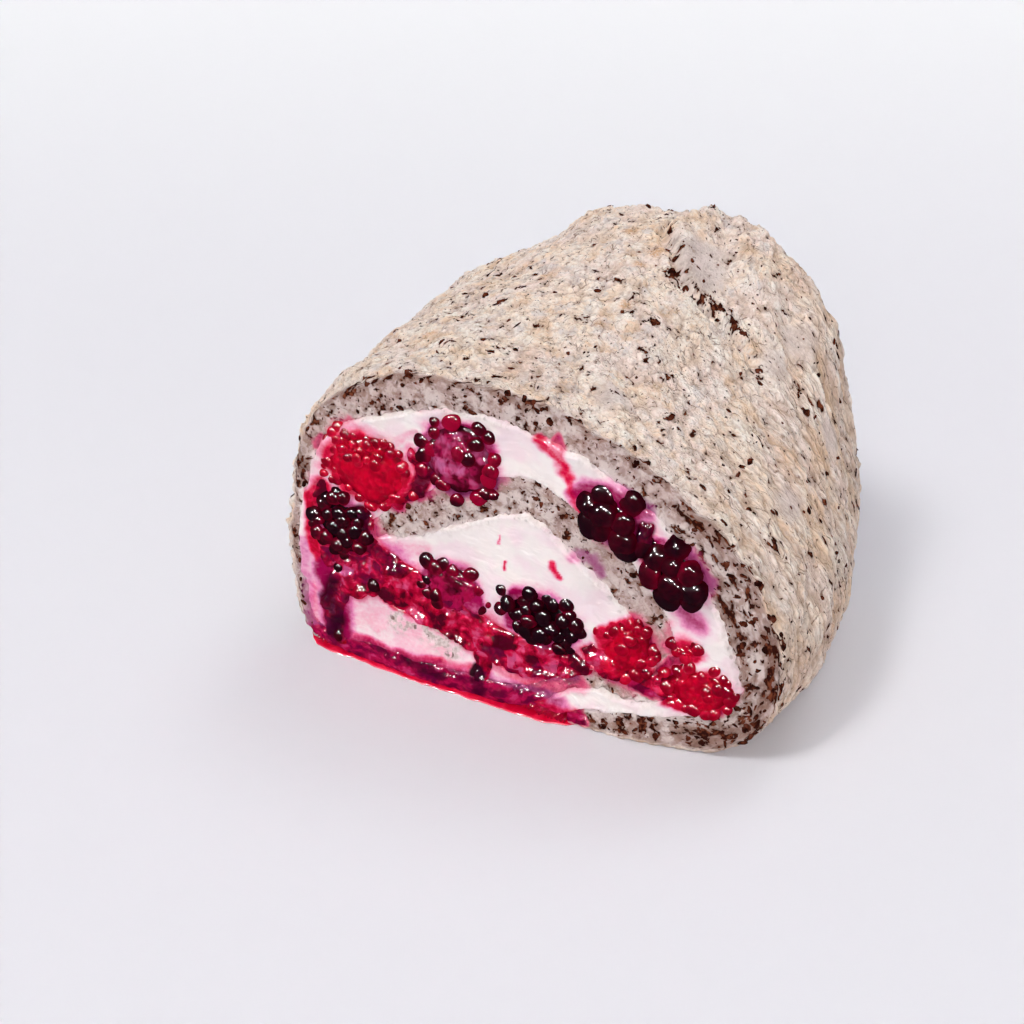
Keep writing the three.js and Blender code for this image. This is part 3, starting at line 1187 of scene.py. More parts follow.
@dataclass(frozen=True)
class CrushedFinish(Finish):
    """Crushed berries in their own juice."""

    name: str = "crushed berries"
    deep: Colour = rgb(84, 0, 28)
    body: Colour = rgb(164, 0, 42)
    bright: Colour = rgb(204, 18, 66)
    pink: Colour = rgb(222, 84, 134)
    plum: Colour = rgb(116, 8, 62)
    lilac: Colour = rgb(186, 84, 140)
    red: Colour = rgb(224, 6, 40)
    fibres: Colour = rgb(74, 0, 26)
    black: Colour = rgb(46, 0, 28)

    def paint(self, nodes: Nodes) -> dict[str, Any]:
        """Paints pulp, fibres and juice.

        Args:
            nodes: Tree to add to.

        Returns:
            The shader's inputs by name.
        """
        at = self.millimetres(nodes)
        red, violet, dark = self.attribute(nodes, "soak", "Vector").parts()
        flow = nodes.noise(nodes.warped(at, 0.2, 2.0), 0.24, 3.0, "Fac", 0.5)
        bent = nodes.warped(at, 0.5, 1.0)
        fibre = nodes.noise(bent, 0.7, 3.0, "Fac", 0.55)
        lump = nodes.cells(nodes.warped(at, 0.3, 1.0), 1 / 3.0, "F1", "Color").parts()[0]
        pick = lump * 0.2 + flow * 0.8 + (flow - 0.5) * 0.5 + (fibre - 0.5) * 0.45
        body = nodes.layers(
            self.deep,
            (pick.rise(0.34, 0.5), self.body),
            (pick.rise(0.5, 0.6), self.bright),
            (pick.rise(0.6, 0.74) * 0.75, self.pink),
            (violet.rise(0.25, 0.9) * pick.rise(0.62, 0.4) * 0.8, self.plum),
            (violet.rise(0.3, 0.9) * pick.rise(0.56, 0.74) * 0.7, self.lilac),
            (red.rise(0.82, 1.0) * flow.rise(0.4, 0.7), self.red),
            (fibre.rise(0.38, 0.26) * 0.7, self.fibres),
            (dark.rise(0.05, 0.8) * (0.5 + fibre * 0.8).lowest(0.95), self.black),
        )
        bubbles = nodes.cells(nodes.warped(at, 0.8, 0.5), 0.7)
        height = nodes.noise(bent, 0.75, 0.0) * 1.6 + fibre * 0.12 - bubbles * 0.2
        return {
            "Base Color": body, "Roughness": 0.12 + 0.14 * nodes.noise(at, 1.6, 3.0),
            "Normal": self.bump(nodes, height, 0.8, 1.0),
            "Coat Weight": 0.09, "Coat Roughness": 0.14,
            "Subsurface Weight": 0.15, "Subsurface Radius": (1.0, 0.12, 0.16),
            "Subsurface Scale": self.scatter,
        }


@dataclass(frozen=True)
class BerryFinish(Finish):
    """Glossy drupelets, and flesh where a berry was cut."""

    name: str = "bramble"
    deep: Colour = rgb(24, 0, 9)
    body: Colour = rgb(80, 0, 20)
    bright: Colour = rgb(162, 4, 48)
    flesh: Colour = rgb(172, 14, 72)
    pale: Colour = rgb(200, 112, 164)
    glow: float = 0.12

    def paint(self, nodes: Nodes) -> dict[str, Any]:
        """Paints skin, with a painted glow at the drupelets' edges, and flesh.

        Args:
            nodes: Tree to add to.

        Returns:
            The shader's inputs by name.
        """
        at = self.millimetres(nodes)
        bead, cut, tone, pulp, crown = (
            self.attribute(nodes, key) for key in ("bead", "flesh", "tone", "pulp", "crown")
        )
        cloud = nodes.noise(nodes.warped(at, 0.4, 0.8), 0.6, 2.0)
        fibre = nodes.noise(nodes.warped(at, 0.3, 1.4).stretched((1.5, 1.0, 0.45)), 0.9, 4.0)
        smear = nodes.noise(nodes.warped(at, 0.3, 1.5), 0.3, 2.0)
        pits = nodes.cells(nodes.warped(at, 0.6, 0.6), 0.62)
        clear = smear.rise(0.56, 0.44)
        # Painted glow of light through the drupelets: brighter crimson towards each drupelet's
        # edge.
        rim = crown.rise(0.85, 0.2) * (0.4 + bead * 0.3 + tone).rise(0.2, 0.9)
        skin = nodes.layers(
            self.deep,
            ((bead * 0.45 + cloud * 0.6 + tone - 0.17).rise(0.1, 0.8), self.body),
            ((cloud * 0.6 + bead * 0.5 + tone).rise(0.7, 1.05) * 0.8, self.bright),
            (rim * 0.75, self.bright),
        )
        meat = nodes.layers(
            self.body,
            ((fibre * 0.5 + cloud * 0.5 + tone * 0.3).rise(0.36, 0.6), self.flesh),
            (fibre.rise(0.54, 0.74) * 0.5, self.bright),
            (smear.rise(0.5, 0.34) * 0.7, self.deep),
            (pits.rise(0.42, 0.6) * clear * 0.8, self.body),
            (pits.rise(0.2, 0.08) * clear * 0.5, self.deep),
            (pulp * smear.rise(0.42, 0.7) * fibre.rise(0.25, 0.6) * 0.75, self.pale),
        )
        height = cloud * 0.5 + cut * (fibre * 0.08 + nodes.noise(at, 0.8, 0.0) * 1.3 - pits * 0.2)
        return {
            "Base Color": nodes.mix(cut, skin, meat), "Roughness": 0.2 + 0.05 * fibre,
            "Normal": self.bump(nodes, height, 0.7, 1.0),
            "Coat Weight": 0.07, "Coat Roughness": 0.15,
            "Subsurface Weight": self.glow, "Subsurface Radius": (1.0, 0.1, 0.14),
            "Subsurface Scale": self.scatter,
        }


RASPBERRY_SKIN = BerryFinish(
    name="raspberry", deep=rgb(122, 0, 26), body=rgb(174, 0, 36), bright=rgb(222, 20, 60),
    flesh=rgb(204, 2, 42), pale=rgb(238, 90, 120), glow=0.15,
)


@dataclass(frozen=True)
class FleckFinish(Finish):
    """Dark chocolate, dull where painted highlight specks lie and shiny where it is wet."""

    name: str = "chocolate"
    dark: Colour = rgb(38, 14, 10)
    milky: Colour = rgb(104, 48, 32)
    dusty: Colour = rgb(130, 84, 64)

    def paint(self, nodes: Nodes) -> dict[str, Any]:
        """Paints chocolate with painted highlight specks.

        Args:
            nodes: Tree to add to.

        Returns:
            The shader's inputs by name.
        """
        at = self.millimetres(nodes)
        cloud, fine = nodes.noise(at, 0.9, 2.0), nodes.noise(at, 3.5, 3.0)
        body = nodes.mix(cloud.rise(0.36, 0.66), self.dark, self.milky)
        return {
            # Painted highlight: light brown specks over the chocolate.
            "Base Color": nodes.mix(fine.rise(0.62, 0.8) * 0.3, body, self.dusty),
            "Roughness": 0.4 + 0.4 * fine, "Normal": self.bump(nodes, fine, 0.5, 0.3),
            "Coat Weight": cloud.rise(0.5, 0.7) * 0.04,
            "Coat Roughness": 0.2,
        }


@dataclass(frozen=True)
class JuiceFinish(Finish):
    """Thin red juice that has run out on to the plate."""

    name: str = "juice"
    red: Colour = rgb(214, 4, 50)
    bright: Colour = rgb(238, 30, 72)
    thin: Colour = rgb(232, 90, 120)

    def paint(self, nodes: Nodes) -> dict[str, Any]:
        """Paints the juice, paler at its thin rim.

        Args:
            nodes: Tree to add to.

        Returns:
            The shader's inputs by name.
        """
        at = self.millimetres(nodes)
        cloud = nodes.noise(nodes.warped(at, 0.2, 1.5), 0.4, 3.0)
        body = nodes.mix(cloud.rise(0.35, 0.65), self.red, self.bright)
        rim = self.attribute(nodes, "rim").rise(0.86, 1.0)
        return {
            "Base Color": nodes.mix(rim * 0.8, body, self.thin), "Roughness": 0.1 + 0.1 * cloud,
            "Normal": self.bump(nodes, cloud, 0.3, 0.6),
            "Coat Weight": 0.07, "Coat Roughness": 0.16,
            "Subsurface Weight": 0.1, "Subsurface Radius": (1.0, 0.1, 0.15),
            "Subsurface Scale": 0.001,
        }


@dataclass(frozen=True)
class FloorFinish(Finish):
    """Plain pale glazed floor."""

    name: str = "floor"
    near: Colour = rgb(231, 229, 235)
    far: Colour = rgb(252, 252, 254)

    def paint(self, nodes: Nodes) -> dict[str, Any]:
        """Paints the floor, lighter behind the slice.

        Args:
            nodes: Tree to add to.

        Returns:
            The shader's inputs by name.
        """
        x, y, _ = self.millimetres(nodes).parts()
        back = ((y - x * 0.45) / 600.0).rise(0.12, 0.75)
        body = nodes.mix(back, self.near, self.far)
        return {"Base Color": body, "Roughness": 0.6}


# ---- Sub-assemblies ----


@dataclass
class MeringueSheet:
    """The rolled sheet of meringue, its crust, crumb and chocolate flecks."""

    form: RollForm
    faces: tuple[CutFace, CutFace]
    arc_step: float = 0.42
    depth_steps: int = 122
    hidden_steps: int = 5
    cut_steps: int = 17
    edge: float = 0.8
    ripple: Ripple = field(default_factory=lambda: Ripple(11))

    def build(self) -> bpy.types.Object:
        """Makes the sheet with its crust and crumb.

        Returns:
            The new object.
        """
        draft = Draft()
        self._turn(draft, 0.0, self.form.outer_turn, self.depth_steps)
        self._turn(draft, self.form.outer_turn, 1.0, self.hidden_steps)
        plain = draft.build("meringue_plain")
        tree = GeometryTree("Meringue relief", Seed=3, Scale=1.0, Crumb=1.0)
        grain = tree.named("grain", "FLOAT_VECTOR")
        crust, rough = tree.named("crust"), tree.named("rough")
        dome, edge, tone, small, _ = ScalePattern().lay(tree, grain)
        flakes = (
            dome * 0.4 + edge.rise(0.0, 0.3) * 0.06 + (tone - 0.5) * 0.34 + small * 0.14 - 0.42
        )
        flakes = flakes + (tree.noise(grain, 0.9, 2.0) - 0.5) * 0.8
        soft, upright = ScalePattern.wrinkles(tree, grain)
        flakes = (
            flakes * (0.4 + tree.noise(grain, 0.2, 2.0).rise(0.4, 0.6) * 0.75) - soft * 0.3
            - upright * 0.34
        )
        flakes = flakes + (tree.noise(grain, 0.26, 3.0) - 0.5) * 1.1
        crumb = (tree.noise(tree.warped(grain, 0.5, 0.8), 0.6, 4.0, "Fac", 0.62) - 0.5) * 1.8
        crumb = crumb - tree.cells(grain, 0.55).rise(0.42, 0.18) * 0.45
        height = crust * flakes * tree.input("Scale") + (1 - crust) * crumb * tree.input("Crumb")
        offset = tree.get("GeometryNodeInputNormal").scaled(height * rough * MM)
        tree.close(tree.shifted(tree.input("Geometry"), offset), MeringueFinish().make())
        sheet = tree.run(plain, "meringue_crust")
        discard(plain)
        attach(sheet, "root")
        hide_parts("meringue_sheet")
        return sheet

    def _turn(self, draft: Draft, first: float, last: float, depth_steps: int) -> None:
        """Adds one closed run of the sheet.

        Args:
            draft: Mesh to add to.
            first: Share of the sheet's path to start at.
            last: Share to end at.
            depth_steps: Steps from cut to cut on the outward side.
        """
        form, edge = self.form, self.edge
        path = form.path(form.sheet, self.arc_step, first, last)
        thick = 2 * path["half"]
        reach = form.length / 2 - edge
        outside = np.linspace(-reach, reach, depth_steps)
        inside = np.linspace(reach, -reach, self.hidden_steps)
        across = np.linspace(0, 1, self.cut_steps + 2)[1:-1]
        across = across - 0.09 * np.sin(2 * math.pi * across)
        w = np.concatenate([outside * 0, across, inside * 0 + 1, across[::-1]])
        side = np.concatenate([outside * 0, across * 0 + 1, inside * 0, across * 0 - 1])
        y = np.concatenate([outside, across * 0, inside, across * 0])
        w, side, y, share = np.broadcast_arrays(
            w[None, :], side[None, :], y[None, :], path["share"][:, None]
        )
        deep = np.minimum(w, 1 - w) * thick[:, None]
        pull = edge * (1 - np.sqrt(1 - np.clip(1 - deep / edge, 0, 1) ** 2))
        y = np.where(side == 0, y, side * (form.length / 2 - pull))
        middle = path["middle"][:, None, :]
        swell = (
            form.swell(middle[..., 0], middle[..., 1], y)
            + self._fold(middle[..., 0], middle[..., 1], y)
        )
        swell = np.where(share <= form.outer_turn, swell, 0)
        offset = (path["half"][:, None] + swell) - w * (thick[:, None] + swell)
        x = middle[..., 0] + offset * path["outward"][:, None, 0]
        z = middle[..., 1] + offset * path["outward"][:, None, 1]
        ragged = (
            np.abs(side) * 0.55 * self.ripple(x / 1.1, z / 1.1, side * 3, 2)
            * np.clip(1 - deep / 1.2, 0, 1)
        )
        x, z = x + ragged * path["outward"][:, None, 0], z + ragged * path["outward"][:, None, 1]
        sx, sz = form.settle(x, z, y)
        bow = (
            np.where(y < 0, self.faces[0].bow(x, z), self.faces[1].bow(x, z))
            * smooth((np.abs(y) - 22) / 7)
        )
        corners = form.metres(sx, y + np.sign(y) * bow, np.maximum(sz, 0.0))
        rings, around = y.shape
        index = np.arange(rings * around).reshape(rings, around)
        ahead = np.roll(index, -1, axis=1)
        quads = np.stack([index[:-1], ahead[:-1], ahead[1:], index[1:]], -1).reshape(-1, 4)
        caps = [corners[index[k]].mean(0) for k in (0, -1)]
        tips = rings * around + np.arange(2)
        fans = [np.stack([np.full(around, tips[0]), ahead[0], index[0]], 1),
                np.stack([np.full(around, tips[1]), index[-1], ahead[-1]], 1)]
        marks = self._marks(path, x, z, y, w, side, sx, sz)
        for name, values in marks.items():
            ends = [values[0].mean(0), values[-1].mean(0)]
            marks[name] = np.concatenate(
                [values.reshape((-1,) + values.shape[2:]), np.array(ends)]
            )
        draft.add(np.concatenate([corners, np.array(caps)]), [quads, np.concatenate(fans)], marks)

    @staticmethod
    def crease(x: Array, y: Array) -> Array:
        """Distance past the crease on the crown, towards the lump behind it."""
        line = np.interp(y, (8.6, 12.4, 16.5, 19.7, 29.0), (10.7, 7.6, 4.4, 2.4, 5.5))
        return np.minimum(0.8 * (x - line), y - 7.8 + 0.12 * (x - 14))

    def _fold(self, x: Array, z: Array, y: Array) -> Array:
        """Extra height of the crust where it folds over itself.

        Args:
            x: Points across the front section.
            z: Points up the front section.
            y: Depth of each point.

        Returns:
            The height of each point.
        """
        wander = 0.7 * self.ripple(x / 4, y / 4, 5.0)
        past = self.crease(x, y) + wander
        crown = smooth((z - 40) / 8) * smooth((30 - x) / 10)
        across = self.form.step_up(x, y)
        gap = (
            1.9 * (smooth((past + 0.5) / 2.6) - across) * smooth((y - 10) / 15)
            * smooth((z - 31) / 14)
        )
        lip = 0.5 * smooth(past / 1.2) * smooth(1 - (past - 1.0) / 8)
        groove = 1.1 * np.exp(-(((past + 0.4) / 0.8) ** 2))
        lumps = 0.0
        for at_x, at_y, reach_x, reach_y, height in CROWN_LUMPS:
            away = ((x - at_x) / reach_x) ** 2 + ((y - at_y) / reach_y) ** 2
            lumps = lumps + height * np.exp(-away)
        slack = 1.7 * np.exp(-(((z - 28) / 11) ** 2) - ((y - 6) / 14) ** 2) * smooth((x - 30) / 8)
        return (
            (lip - groove) * crown + gap * smooth(1 - (past - 2.5) / 6)
            + lumps * smooth((z - 30) / 8) - slack
        )

    def _marks(self, path: dict[str, Array], x: Array, z: Array, y: Array, w: Array,
               side: Array, sx: Array, sz: Array) -> dict[str, Array]:
        """Attributes of the sheet: where its grain, crust, stains and flecks lie.

        Args:
            path: The sheet's path.
            x: Place across the front section.
            z: Place up the front section.
            y: Depth.
            w: Place through the sheet, from 0 outside to 1 inside.
            side: Cut that a corner lies on, or 0.
            sx: Place across after settling.
            sz: Height after settling.

        Returns:
            Attribute values by name.
        """
        n, form = self.ripple, self.form
        thick, share = 2 * path["half"][:, None], path["share"][:, None]
        first_turn = share <= form.outer_turn
        steep = smooth((path["middle"][:, 0] - 18) / 16)
        rate = 1 - 0.42 * steep
        arc = np.concatenate([[0], np.cumsum(np.diff(path["arc"]) * (rate[1:] + rate[:-1]) / 2)])
        arc = arc + 300 * path["share"][0]
        through = w * thick
        grain = np.stack([arc[:, None] + 0 * y, y, through + 40.0], -1)
        outer = (w == 0) & first_turn
        crust = np.where(first_turn, smooth(1 - (through - 0.5) / 0.7), 0.0)
        hidden = (side == 0) & ~outer
        crust = np.where(outer, 1.0, np.where(hidden & (w > 0.5), 0.0, crust))
        crown = smooth((sz - 52) / 6)
        past = self.crease(x, y)
        spot = smooth(
            1.5 - 1.2 * np.hypot((sx - 11.4) / 5.0, (y - 14.2) / 7.0) + 0.18 * n(sx / 2.5, y / 2.5)
        )
        bare = np.where(outer, spot * crown * smooth(past / 0.8 + 0.4), 0.0)
        for px, py, pz, size in BARE_SPOTS:
            near = np.sqrt((sx - px) ** 2 + (y - py) ** 2 + (sz - pz) ** 2)
            worn = 0.7 * smooth(1.6 - near / size + 0.4 * n(sx / 2, y / 2))
            bare = np.maximum(bare, np.where(outer, worn, 0))
        toast = np.zeros_like(x)
        for px, py, size in TOASTED_SPOTS:
            near = smooth(1.4 - np.hypot(sx - px, y - py) / size)
            toast = np.maximum(toast, np.where(outer & (sz > 30), near, 0))
        near = 0.5 * smooth((n(sx / 6, y / 6, sz / 6) - 0.45) / 0.3)
        toast = np.maximum(toast, np.where(outer, near, 0))
        soak = np.zeros(x.shape + (3,))
        for face in self.faces:
            mine = (np.sign(y) == face.side) & (np.abs(y) > 20)
            stain = face.soak(x[mine], z[mine])
            inward = form.length / 2 - np.abs(y[mine])
            fade = np.where(side[mine] == 0, np.exp(-inward / 2.2), 1.0)
            damp = 0.35 + 0.65 * smooth((6 - z[mine]) / 4) * smooth((10 - x[mine]) / 6)
            keep = np.where(crust[mine] > 0.5, damp, 1.0)
            soak[mine] = stain * (fade * keep)[:, None]
        foot = 0.8 * smooth((2.4 - z) / 2) * smooth((8 - x) / 10) * smooth((-24 - y) / 5)
        soak[..., 0] = np.maximum(soak[..., 0], np.where(side == 0, foot, 0))
        flecks = np.where(outer, 0.22 * smooth(0.75 + n(sx / 9, y / 9, sz / 9, 2)), 0.0)
        # Chips massed along the crease: real chips, and a dark line of them that is also painted
        # shadow in the crease.
        line = (
            np.exp(-(((past + 0.2) / 0.7) ** 2)) * smooth((24 - y) / 6) * smooth((y - 6) / 2)
            * crown
        )
        line = 2.6 * line * smooth(0.8 + 1.4 * n(x / 1.8, y / 1.8, 2.0))
        flecks = flecks + np.where(outer, line, 0.0)
        for px, py, size in CHIP_CLUSTERS:
            near = np.hypot(sx - px, y - py)
            flecks = flecks + np.where(outer & (sz > 30), 3.4 * smooth(1.5 - near / size), 0)
        band = np.exp(-((through - 1.7) ** 2)) * first_turn
        cluster = smooth(0.5 + 1.3 * n(x / 4.2, z / 4.2, 4.0))
        cut = 0.2 + 2.4 * band * smooth(0.7 + n(x / 5, z / 5, 8.0)) + 0.9 * cluster
        # More chips towards the right of the cut: real chips, and painted shade of that side.
        low_side = 0.9 * smooth((x - 24) / 12)
        cut = cut * (1 + low_side) + low_side + 0.4 * smooth((7 - z) / 4)
        cut = np.clip(cut, 0.1, 4) * smooth(1.2 - 2 * soak.max(-1))
        flecks = np.where(side != 0, cut, flecks)
        inner = (
            (1 - w) * thick if path["share"][0] < form.outer_turn else np.minimum(w, 1 - w) * thick
        )
        creamy = np.where(side != 0, np.exp(-inner / 1.2) * (1 - smooth((2.5 - z) / 2)), 0.0)
        flecks = flecks * (1 - 0.7 * bare)
        base = smooth((z - 0.5) / 2.5)
        rough = np.where(hidden, 0.0, 1.0) * (0.04 + 0.96 * base) * (1 - 0.75 * bare)
        return {
            "grain": grain, "crust": crust, "bare": bare, "toast": toast, "soak": soak,
            "fleck": flecks * base, "rough": rough, "creamy": creamy,
        }

    def flecks(self, sheet: bpy.types.Object) -> bpy.types.Object:
        """Scatters chocolate over the crust and the cuts.

        Args:
            sheet: The finished sheet.

        Returns:
            The new object.
        """
        tree = GeometryTree(
            "Chocolate flecks", Seed=21, Density=110000.0, Longest=0.85, Jagged=0.3 * MM
        )
        spread = tree.scatter("RANDOM", {
            "Mesh": tree.input("Geometry"), "Seed": 5,
            "Density": tree.named("fleck") * tree.input("Density"),
        })
        long = tree.random(0.0, 1.0, 1) ** 1.7 * tree.input("Longest") + 0.2
        size = tree.vector(long, long * tree.random(0.3, 0.8, 2) + 0.07, long * 0.1 + 0.06)
        spin = tree.get("FunctionNodeRotateRotation", {"rotation_space": "LOCAL"}, {
            "Rotation": Sock(tree, spread.outputs["Rotation"]),
            "Rotate By": tree.random((-0.4, -0.4, 0.0), (0.4, 0.4, 6.28), 3),
        })
        placed = tree.get("GeometryNodeInstanceOnPoints", {}, {
            "Points": Sock(tree, spread.outputs["Points"]), "Instance": tree.ball(1),
            "Rotation": spin, "Scale": size.scaled(MM),
        })
        push = tree.push(tree.place(), 2.1, 1.0).scaled(tree.input("Jagged") * 2.0)
        tree.close(tree.sleek(tree.shifted(tree.real(placed), push)), FleckFinish().make())
        made = tree.run(sheet, "chocolate_flecks")
        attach(made, "root")
        return made


BARE_SPOTS: Rows = (
    (29.7, 15.8, 55.6, 3.2), (28.1, 7.7, 56, 2.6), (10, -21, 59.7, 2.4), (38.9, -12.2, 41.9, 3.0),
    (38.6, 11.5, 42.5, 2.8),
)
TOASTED_SPOTS: Rows = (
    (3.5, 13.1, 1.6), (2.3, 9.3, 1.2), (-3.4, 18.6, 1.4), (4.1, -1.2, 1.2), (2.1, -7.1, 1.1),
    (-25.6, -14, 1.2),
)
CROWN_LUMPS: Rows = (
    (-13, 27, 4.5, 5, 1.2), (-0.8, 27, 2.6, 6, -1.4), (9.0, 28.5, 4.0, 5, -1.5),
    (-8.0, 28, 3.5, 5, -0.6), (15.0, 28, 3.5, 5, -0.5), (-20.5, 28, 4, 5, -0.3),
    (-28, 27, 9, 8, -1.2), (24, 27, 7, 8, 1.0), (32, 24, 5, 9, 1.5),
)
CHIP_CLUSTERS: Rows = (
    (9.4, 8.9, 1.3), (7.0, 14.0, 0.9), (12.4, 9.0, 1.1), (15.2, 9.0, 1.1), (17.5, 8.6, 1.4),
    (20.4, 8.4, 1.3), (22.2, 7.6, 1.2), (7.5, 27.5, 1.0), (9.3, 27.5, 0.9), (5.4, 24.3, 1.0),
    (4.2, 18.8, 1.0), (-16.1, 1.1, 0.8), (-2, 1.6, 0.8), (10, -2.3, 0.9), (-17.7, -3.5, 0.9),
    (-13.8, -9.9, 0.8), (-11, -17.8, 0.8), (4, -12.3, 0.8), (16.2, -10.1, 0.9), (19.7, -11, 0.8),
    (18.7, -17.3, 1.0), (9.7, -20.5, 0.8), (26, 4.5, 1.2), (27, 8.1, 1.0), (32.1, 9.8, 1.2),
)


@dataclass
class Filling:
    """A soft filling that runs from cut to cut, with a fine skin on both cuts."""

    form: RollForm
    faces: tuple[CutFace, CutFace]
    step: float = 0.34
    stations: int = 6

    def grid(self) -> tuple[Array, Array]:
        """Corner places of the skin on the front section."""
        xs = np.arange(-47.0, 47.0, self.step)
        zs = np.arange(0.3, 64.0, self.step)
        return np.meshgrid(xs, zs, indexing="ij")

    def shell(self, name: str, inside: Array, heights: tuple[Array, Array],
              marks: Callable[[CutFace, Array, Array], dict[str, Array]]) -> bpy.types.Object:
        """Makes the closed filling.

        Args:
            name: Name of the object.
            inside: Which corners of the grid belong to it.
            heights: How far the skin stands out of the front and back cuts.
            marks: Gives the attributes at points of a cut.

        Returns:
            The new object.
        """
        x, z = self.grid()
        cell = inside[:-1, :-1] & inside[1:, :-1] & inside[:-1, 1:] & inside[1:, 1:]
        for _ in range(3):
            cell[:-1, :-1] |= cell[1:, 1:] & ~cell[1:, :-1] & ~cell[:-1, 1:]
            cell[1:, :-1] |= cell[:-1, 1:] & ~cell[:-1, :-1] & ~cell[1:, 1:]
        number = np.arange(x.size).reshape(x.shape)
        quads = cell_quads(number)[cell]
        used, flat = np.unique(quads, return_inverse=True)
        quads = flat.reshape(quads.shape)
        x, z = x.ravel()[used], z.ravel()[used]
        out = [h.ravel()[used] + f.bow(x, z) for h, f in zip(heights, self.faces)]
        half = self.form.length / 2
        count = len(used)
        layers, tables = [], []
        for face, far in zip(self.faces, out):
            y = face.side * (half + far)
            sx, sz = self.form.settle(x, z, y)
            layers.append(self.form.metres(sx, y, sz))
            tables.append(marks(face, x, z))
        edges = np.concatenate(
            [np.stack([quads[:, k], quads[:, (k + 1) % 4]], 1) for k in range(4)]
        )
        code, back = edges[:, 0] * count + edges[:, 1], edges[:, 1] * count + edges[:, 0]
        rim = edges[~np.isin(code, back)]
        loop = np.unique(rim)
        slot = np.full(count, -1)
        slot[loop] = np.arange(len(loop))
        rows = [loop]
        total = 2 * count
        extra = []
        for station in range(1, self.stations):
            y = -half + self.form.length * station / self.stations
            sx, sz = self.form.settle(x[loop], z[loop], np.full(len(loop), y))
            extra.append(self.form.metres(sx, np.full(len(loop), y), sz))
            rows.append(total + np.arange(len(loop)))
            total += len(loop)
        rows.append(loop + count)
        walls = []
        for near, far in zip(rows, rows[1:]):
            a, b = near[slot[rim[:, 0]]], near[slot[rim[:, 1]]]
            c, d = far[slot[rim[:, 0]]], far[slot[rim[:, 1]]]
            walls.append(np.stack([b, a, c, d], 1))
        table = {
            key: np.concatenate([near, tables[1][key]] + [near[loop]] * len(extra))
            for key, near in tables[0].items()
        }
        draft = Draft()
        faces = np.concatenate([quads, quads[:, ::-1] + count] + walls)
        draft.add(np.concatenate(layers + extra), [faces], table)
        return draft.build(name)


@dataclass
class Cream(Filling):
    """Whipped cream between the turns."""

    sink: float = 2.2

    def build(self) -> bpy.types.Object:
        """Makes the cream.

        Returns:
            The new object.
        """
        x, z = self.grid()
        outline = self.form.path(self.form.sheet, 1.0, 0.0, self.form.outer_turn)["middle"]
        inside = np.zeros(x.shape, bool)
        for (ax, az), (bx, bz) in zip(outline, np.roll(outline, -1, axis=0)):
            if az != bz:
                inside ^= ((az > z) != (bz > z)) & (x < (bx - ax) * (z - az) / (bz - az) + ax)
        heights = tuple(self._height(face, x, z) for face in self.faces)
        made = self.shell("cream_swirl", inside, heights, self._marks)
        made.data.materials.append(CreamFinish().make())
        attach(made, "root")
        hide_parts("cream_filling")
        return made

    def _height(self, face: CutFace, x: Array, z: Array) -> Array:
        """How far the cream stands out of a cut.

        Args:
            face: The cut.
            x: Points across it.
            z: Points up it.

        Returns:
            The height of each point.
        """
        n = face.ripple
        px, pz = face.stray(x, z, 0.6)
        sheet = face.sheet_gap(px, pz)
        mash = face.crushed_gap(px, pz)
        skin = (
            0.15 + 0.6 * n(x / 6, z / 6, 1.0, 2) + 0.12 * n((x + z) / 4.2, (z - x) / 2.0, 6.0, 2)
        )
        skin = (
            skin + 0.35 * np.exp(-np.clip(sheet, 0, None) / 0.9) - self.sink * smooth(-sheet / 0.9)
        )
        return skin - 1.2 * smooth(-mash / 1.0) + 0.5 * np.exp(-np.abs(face.berry_gap(x, z)) / 1.2)

    @staticmethod
    def _marks(face: CutFace, x: Array, z: Array) -> dict[str, Array]:
        """Stains and crumbs on the cream.

        Args:
            face: The cut.
            x: Points across it.
            z: Points up it.

        Returns:
            Attribute values by name.
        """
        line = ((-23.5, 10.5), (-17, 9.5), (-13.5, 7.5))
        scrap = smooth(1 - (stroke_gap(x, z, line) - 1.0) / 2.2)
        rim = np.exp(-np.clip(face.sheet_gap(x, z), 0, None) / 0.7)
        soak = face.soak(x, z)
        rim = 0.35 * rim * (1 - smooth(2 * soak.max(-1)))
        return {"soak": soak, "crumb": np.clip(scrap * (face.side < 0) + rim, 0, 1)}


